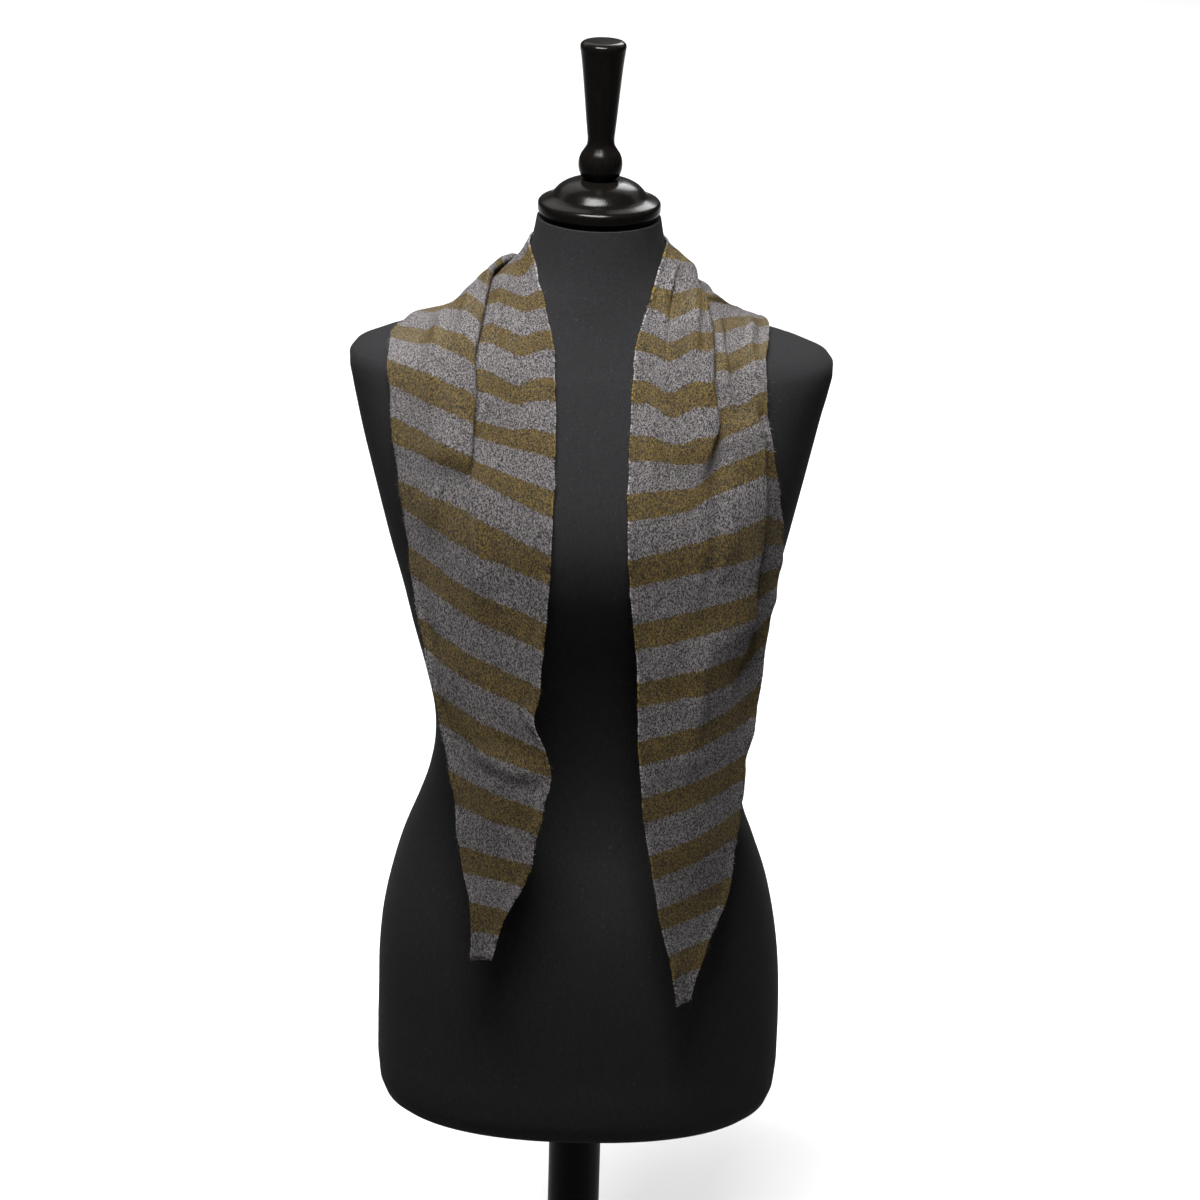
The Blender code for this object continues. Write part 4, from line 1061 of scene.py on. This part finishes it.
# Small creases: points (x, y, z) from the top down, reach to the left and to the right
# of the line as seen from outside, and height, all in mm. A short reach makes a sharp side.
CREASES = (
    # left of the front
    (((-77, 14, 1014), (-90, -19, 1004), (-96, -49, 988), (-100, -80, 960)), 13, 4.5, 4.9),
    (((-66, -8, 1024), (-76, -40, 1003), (-84, -66, 976)), 7, 4.5, 2.8),
    (((-60, -18, 1022), (-66, -52, 992), (-70, -80, 955), (-72, -100, 905)), 8, 14, 3.4),
    (((-117, 6, 990), (-120, -38, 984), (-124, -62, 965), (-128, -84, 920)), 16, 9, 4.2),
    (((-112, -88, 935), (-118, -104, 890), (-121, -108, 840)), 14, 11, 3.4),
    (((-84, -100, 925), (-85, -116, 880), (-84, -124, 830), (-80, -128, 770)), 9, 18, 4.2),
    # right of the front
    (((50, -4, 1043), (50, -30, 1026), (50, -48, 1008), (49, -72, 978)), 9, 4.5, 3.8),
    (((66, -18, 1022), (69, -38, 1008), (72, -59, 989), (75, -81, 964)), 4.5, 8, 4.6),
    (((46, -88, 952), (45, -108, 916), (45, -122, 860)), 16, 9, 3.4),
    (((82, -92, 945), (84, -106, 905), (84, -116, 850), (80, -124, 790)), 12, 9, 3.8),
    (((94, -14, 1001), (97, -50, 986), (101, -74, 966), (104, -86, 940)), 8, 5, 4.6),
    (((119, 28, 984), (119, -42, 979), (124, -66, 961), (124, -80, 930)), 5, 9, 3.8),
    (((104, -98, 915), (104, -110, 870), (100, -118, 810)), 8, 12, 3.4),
    # tails
    (((-30, -139, 648), (-60, -137, 655), (-92, -129, 672)), 20, 13, 3.2),
    (((-118, -112, 800), (-112, -116, 740), (-104, -112, 680)), 12, 16, 2.6),
    (((92, -126, 780), (88, -124, 720), (80, -120, 640)), 16, 10, 2.8),
    (((58, -136, 800), (60, -132, 720), (62, -126, 640)), 14, 18, 2.2),
    # back
    (((-30, 62, 1044), (-44, 88, 1000), (-50, 104, 950)), 11, 7, 4.2),
    (((-4, 66, 1040), (2, 96, 990), (14, 110, 930)), 9, 14, 3.4),
    (((26, 62, 1042), (40, 88, 1002), (58, 104, 950)), 8, 12, 4.4),
    (((52, 46, 1036), (78, 74, 996), (96, 92, 955)), 12, 8, 3.4),
)

OWN_SIDE = 0.04            # m above or below its line that a crease reaches
CREASE_FADE = 0.3          # part of a crease's length over which each end fades

# Places where an edge is pushed aside: centre, reach and push, in mm.
PUSHES = (
    ((-34, -138, 697), 24, (-6.5, 0, 0)),
    ((-33, -138, 650), 30, (5.5, 0, 0)),
    ((-38, -134, 590), 26, (-2.5, 0, 0)),
    ((34, -136, 640), 30, (2, 0, 0)),
    ((104, -116, 700), 34, (2.5, 0, 0)),
)


def add_creases(grid, drape):
    """Grid with each crease pushed outwards; every layer of a pleat moves alike."""
    shape = grid.shape
    points = grid.reshape(-1, 3)
    up = np.array([tuple(drape.surface.normal(Vector(p))) for p in points])
    lift = np.zeros(len(points))
    for line, left, right, height in CREASES:
        line = np.array(line, float) * MM
        lengths = np.linalg.norm(np.diff(line, axis=0), axis=1)
        starts = np.concatenate([[0.0], np.cumsum(lengths)])
        best = np.full(len(points), np.inf)
        bump = np.zeros(len(points))
        for (a, b), length, start in zip(zip(line, line[1:]), lengths, starts):
            way = (b - a) / length
            along = np.clip((points - a) @ way, 0.0, length)
            off = points - (a + along[:, None] * way)
            above = (off * up).sum(axis=1)
            off -= up * above[:, None]
            distance = np.linalg.norm(off, axis=1)
            reach = np.where((off * np.cross(up, way)).sum(axis=1) > 0.0, right, left) * MM
            part = (start + along) / starts[-1]
            ends = np.clip(np.minimum(part, 1.0 - part) / CREASE_FADE, 0.0, 1.0)
            high = smoothstep(1.0 - distance / reach) * ends * (np.abs(above) < OWN_SIDE)
            bump = np.where(distance < best, high, bump)
            best = np.minimum(best, distance)
        lift += bump * height * MM
    points = points + up * lift[:, None]
    for centre, reach, push in PUSHES:
        far = np.linalg.norm(points - np.array(centre) * MM, axis=1) / (reach * MM)
        points = points + smoothstep(1.0 - far)[:, None] * np.array(push) * MM
    return points.reshape(shape)


def scarf_shell(grid, normals, rows, across):
    """Closed thin shell with rounded rims and the flat cut as its UV map."""
    half = 0.5 * THIN_WALL * MM
    outward, lengthwise = unit(np.gradient(grid, axis=1)), unit(np.gradient(grid, axis=0))
    mesh = bmesh.new()
    flat_cut = mesh.loops.layers.uv.new("flat_cut")
    places = {}

    def laid(points):
        made = [[mesh.verts.new(p) for p in line] for line in points]
        for i, line in enumerate(made):
            for k, vertex in enumerate(line):
                places[vertex] = (rows[i] * STRIPE_REPEAT * MM, across[i, k])
        return made

    top, low = laid(grid + normals * half), laid(grid - normals * half)
    count_rows, count = grid.shape[:2]
    for i in range(count_rows - 1):
        for k in range(count - 1):
            mesh.faces.new((top[i][k], top[i + 1][k], top[i + 1][k + 1], top[i][k + 1]))
            mesh.faces.new((low[i][k], low[i][k + 1], low[i + 1][k + 1], low[i + 1][k]))
    rim = [(i, 0) for i in range(count_rows)]
    rim += [(count_rows - 1, k) for k in range(1, count)]
    rim += [(i, count - 1) for i in range(count_rows - 2, -1, -1)]
    rim += [(0, k) for k in range(count - 2, 0, -1)]
    ridge = []
    for i, k in rim:
        away = np.full(3, 1e-9)
        away += outward[i, k] * ((k == count - 1) - (k == 0))
        away += lengthwise[i, k] * ((i == count_rows - 1) - (i == 0))
        vertex = mesh.verts.new(grid[i, k] + away / np.linalg.norm(away) * half)
        places[vertex] = (rows[i] * STRIPE_REPEAT * MM, across[i, k])
        ridge.append(vertex)
    for at, (i, k) in enumerate(rim):
        m, p = rim[(at + 1) % len(rim)]
        here, after = ridge[at], ridge[(at + 1) % len(rim)]
        mesh.faces.new((top[m][p], top[i][k], here, after))
        mesh.faces.new((after, here, low[i][k], low[m][p]))
    bmesh.ops.recalc_face_normals(mesh, faces=mesh.faces)
    for face in mesh.faces:
        for loop in face.loops:
            loop[flat_cut].uv = places[loop.vert]
    return shown_piece("scarf", mesh, SCARF_SMOOTH)


# Loose fibres: how many, shortest and longest in mm, and how steeply they stand.
LOOSE_FIBRES = (19000, 0.8, 2.2, 0.35)
EDGE_FIBRES = (3800, 0.5, 1.7, 0.3)
LONG_FIBRES = (170, 4.0, 9.0, 0.45)
FIBRE_WIDTH = 0.045        # mm, half of it
FIBRE_POINTS = 4           # along each fibre
FIBRE_TAPER = 0.25         # of the width, from one point to the next
FIBRE_ARCH = (1.6, 2.6)    # radians over which it arches, drawn for each point
FIBRE_BEND, BEND_AT_TIP = 0.5, 0.6     # spread of its random bend, share at the tip
FIBRE_TWIST = 0.6          # spread of the ribbon's own direction
EDGE_LEAN = 0.7            # how strongly an edge's fibres point away from it
ANY_WAY = (0.3, 0.2, 1.0)  # crossed with the normal it gives a direction in the cloth
FIBRE_SEED = 31


def fibre_mesh(grid, normals, rows, across):
    """Loose wool fibres that stand off the knit, as narrow curved ribbons."""
    rng = np.random.default_rng(FIBRE_SEED)
    count_rows, count = grid.shape[:2]
    mesh = bmesh.new()
    flat_cut = mesh.loops.layers.uv.new("flat_cut")

    def fibre(kind, i, k, part_i, part_k=None, sideways=0.0):
        if part_k is None:
            part_k = rng.random()
        _, shortest, longest, stand = kind
        length = rng.uniform(shortest, longest)
        weights = ((1 - part_i) * (1 - part_k), (1 - part_i) * part_k,
                   part_i * (1 - part_k), part_i * part_k)
        cells = ((i, k), (i, k + 1), (i + 1, k), (i + 1, k + 1))
        root = sum(grid[c] * w for c, w in zip(cells, weights))
        up = sum(normals[c] * w for c, w in zip(cells, weights))
        up /= np.linalg.norm(up)
        uv = ((rows[i] * (1 - part_i) + rows[i + 1] * part_i) * STRIPE_REPEAT * MM,
              sum(across[c] * w for c, w in zip(cells, weights)))
        turn = rng.uniform(0.0, 2.0 * math.pi)
        first = np.cross(up, ANY_WAY)
        first /= np.linalg.norm(first)
        second = np.cross(up, first)
        way = first * math.cos(turn) + second * math.sin(turn) + sideways
        bend = rng.normal(0.0, FIBRE_BEND, 3)
        spine = []
        for part in np.linspace(0.0, 1.0, FIBRE_POINTS):
            rise = stand * math.sin(part * rng.uniform(*FIBRE_ARCH)) * length
            aside = (way + bend * part * BEND_AT_TIP) * length * part
            spine.append(root + (up * (0.5 * THIN_WALL + rise) + aside) * MM)
        wide = np.cross(spine[-1] - spine[0], up + rng.normal(0.0, FIBRE_TWIST, 3))
        wide = wide / max(np.linalg.norm(wide), 1e-9) * FIBRE_WIDTH * MM
        sides = [[mesh.verts.new(p + wide * s * (1.0 - FIBRE_TAPER * n)) for s in (-1.0, 1.0)]
                 for n, p in enumerate(spine)]
        for (a, b), (c, d) in zip(sides, sides[1:]):
            face = mesh.faces.new((a, b, d, c))
            for loop in face.loops:
                loop[flat_cut].uv = uv

    areas = across[:, -1] / across[:, -1].sum()
    for _ in range(LOOSE_FIBRES[0]):
        i = min(int(rng.choice(count_rows, p=areas)), count_rows - 2)
        fibre(LOOSE_FIBRES, i, int(rng.integers(0, count - 1)), rng.random())
    for _ in range(EDGE_FIBRES[0]):
        i = int(rng.integers(0, count_rows - 1))
        last = rng.random() < 0.5
        away = grid[i, -1] - grid[i, -2] if last else grid[i, 0] - grid[i, 1]
        away = away / np.linalg.norm(away) * EDGE_LEAN
        fibre(EDGE_FIBRES, i, count - 2 if last else 0, rng.random(), float(last), away)
    for _ in range(LONG_FIBRES[0]):
        i, k = int(rng.integers(0, count_rows - 1)), int(rng.integers(0, count - 1))
        fibre(LONG_FIBRES, i, k, rng.random())
    return shown_piece("scarf_fibres", mesh)


def make_scarf(form):
    drape = Drape(HangSurface())
    rows, grid = scarf_grid(drape)
    grid = add_creases(hug_neck(smoothed(grid), rows, form), drape)
    normals = normals_of(grid)
    across = across_cloth(grid)
    lift, slide = uneven(across, rows)
    outward = unit(np.gradient(grid, axis=1))
    grid = grid + normals * lift[..., None] + outward * slide[..., None]
    normals = normals_of(grid)
    scarf = scarf_shell(grid, normals, rows, across)
    dress(scarf, knit_material(), "scarf_knit", "scarf_tail_left", "scarf_neck_left",
          "scarf_neck_right", "scarf_tail_right")
    fibres = fibre_mesh(grid, normals, rows, across)
    dress(fibres, fibre_material(), "scarf_knit")


# ---- stage
FOCAL_SHARE = 3630.0 / 1200.0      # focal length over the picture's width
SENSOR = 36.0              # mm
FLOOR_HALF = 14.0          # m
FLOOR_DROP = 0.0005        # m below the base
CAMERA_PLACE = (0.0, -2.80, 1.826)
CAMERA_DOWN, CAMERA_ASIDE, CAMERA_ROLL = 21.06, 0.187, 1.574


def make_camera():
    pitch, yaw, roll = (math.radians(a) for a in (CAMERA_DOWN, CAMERA_ASIDE, CAMERA_ROLL))
    ahead = Vector((math.sin(yaw) * math.cos(pitch), math.cos(yaw) * math.cos(pitch),
                    -math.sin(pitch)))
    side = Vector((math.cos(yaw), -math.sin(yaw), 0.0))
    up = side.cross(ahead)
    right = side * math.cos(roll) + up * math.sin(roll)
    upward = up * math.cos(roll) - side * math.sin(roll)
    data = bpy.data.cameras.new("camera")
    data.sensor_width = SENSOR
    data.lens = SENSOR * FOCAL_SHARE
    camera = added("camera", data)
    turn = Matrix((right, upward, -ahead)).transposed()
    camera.matrix_world = Matrix.Translation(CAMERA_PLACE) @ turn.to_4x4()
    bpy.context.scene.camera = camera


# place, aim, size in m, power in W, spread in degrees
LIGHTS = {
    "key": ((-0.17, -0.57, 2.22), (-0.01, -0.08, 0.9), (0.80, 0.34), 61.0, 110.0),
    "fill": ((1.2, -1.9, 1.7), (0.0, 0.0, 1.0), (0.8, 0.8), 0.8, 180.0),
    "floor_wash": ((0.0, 4.2, 3.0), (0.0, 4.2001, 0.0), (6.4, 6.4), 400.0, 140.0),
    "back": ((0.7, 2.1, 2.6), (0.0, 0.05, 0.95), (1.0, 1.0), 60.0, 180.0),
}
WORLD_LIGHT = 0.12


def area_light(name, place, aim, size, power, spread):
    data = bpy.data.lights.new(name, "AREA")
    data.shape = "RECTANGLE"
    data.size, data.size_y = size
    data.energy = power
    data.spread = math.radians(spread)
    light = added(name, data)
    light.location = place
    light.rotation_euler = (Vector(aim) - Vector(place)).to_track_quat("-Z", "Y").to_euler()


def make_stage():
    mesh = bmesh.new()
    bmesh.ops.create_grid(mesh, x_segments=8, y_segments=8, size=FLOOR_HALF)
    floor = shown_piece("floor", mesh)
    floor.location = (0.0, 0.0, -FLOOR_DROP)
    floor.data.materials.append(floor_material())
    world = bpy.data.worlds.new("studio")
    world.use_nodes = True
    background = world.node_tree.nodes["Background"]
    background.inputs["Color"].default_value = (1.0, 1.0, 1.0, 1.0)
    background.inputs["Strength"].default_value = WORLD_LIGHT
    bpy.context.scene.world = world
    bpy.context.scene.view_settings.view_transform = "Standard"
    for name, settings in LIGHTS.items():
        area_light(name, *settings)


make_camera()
make_stage()
make_scarf(make_form())
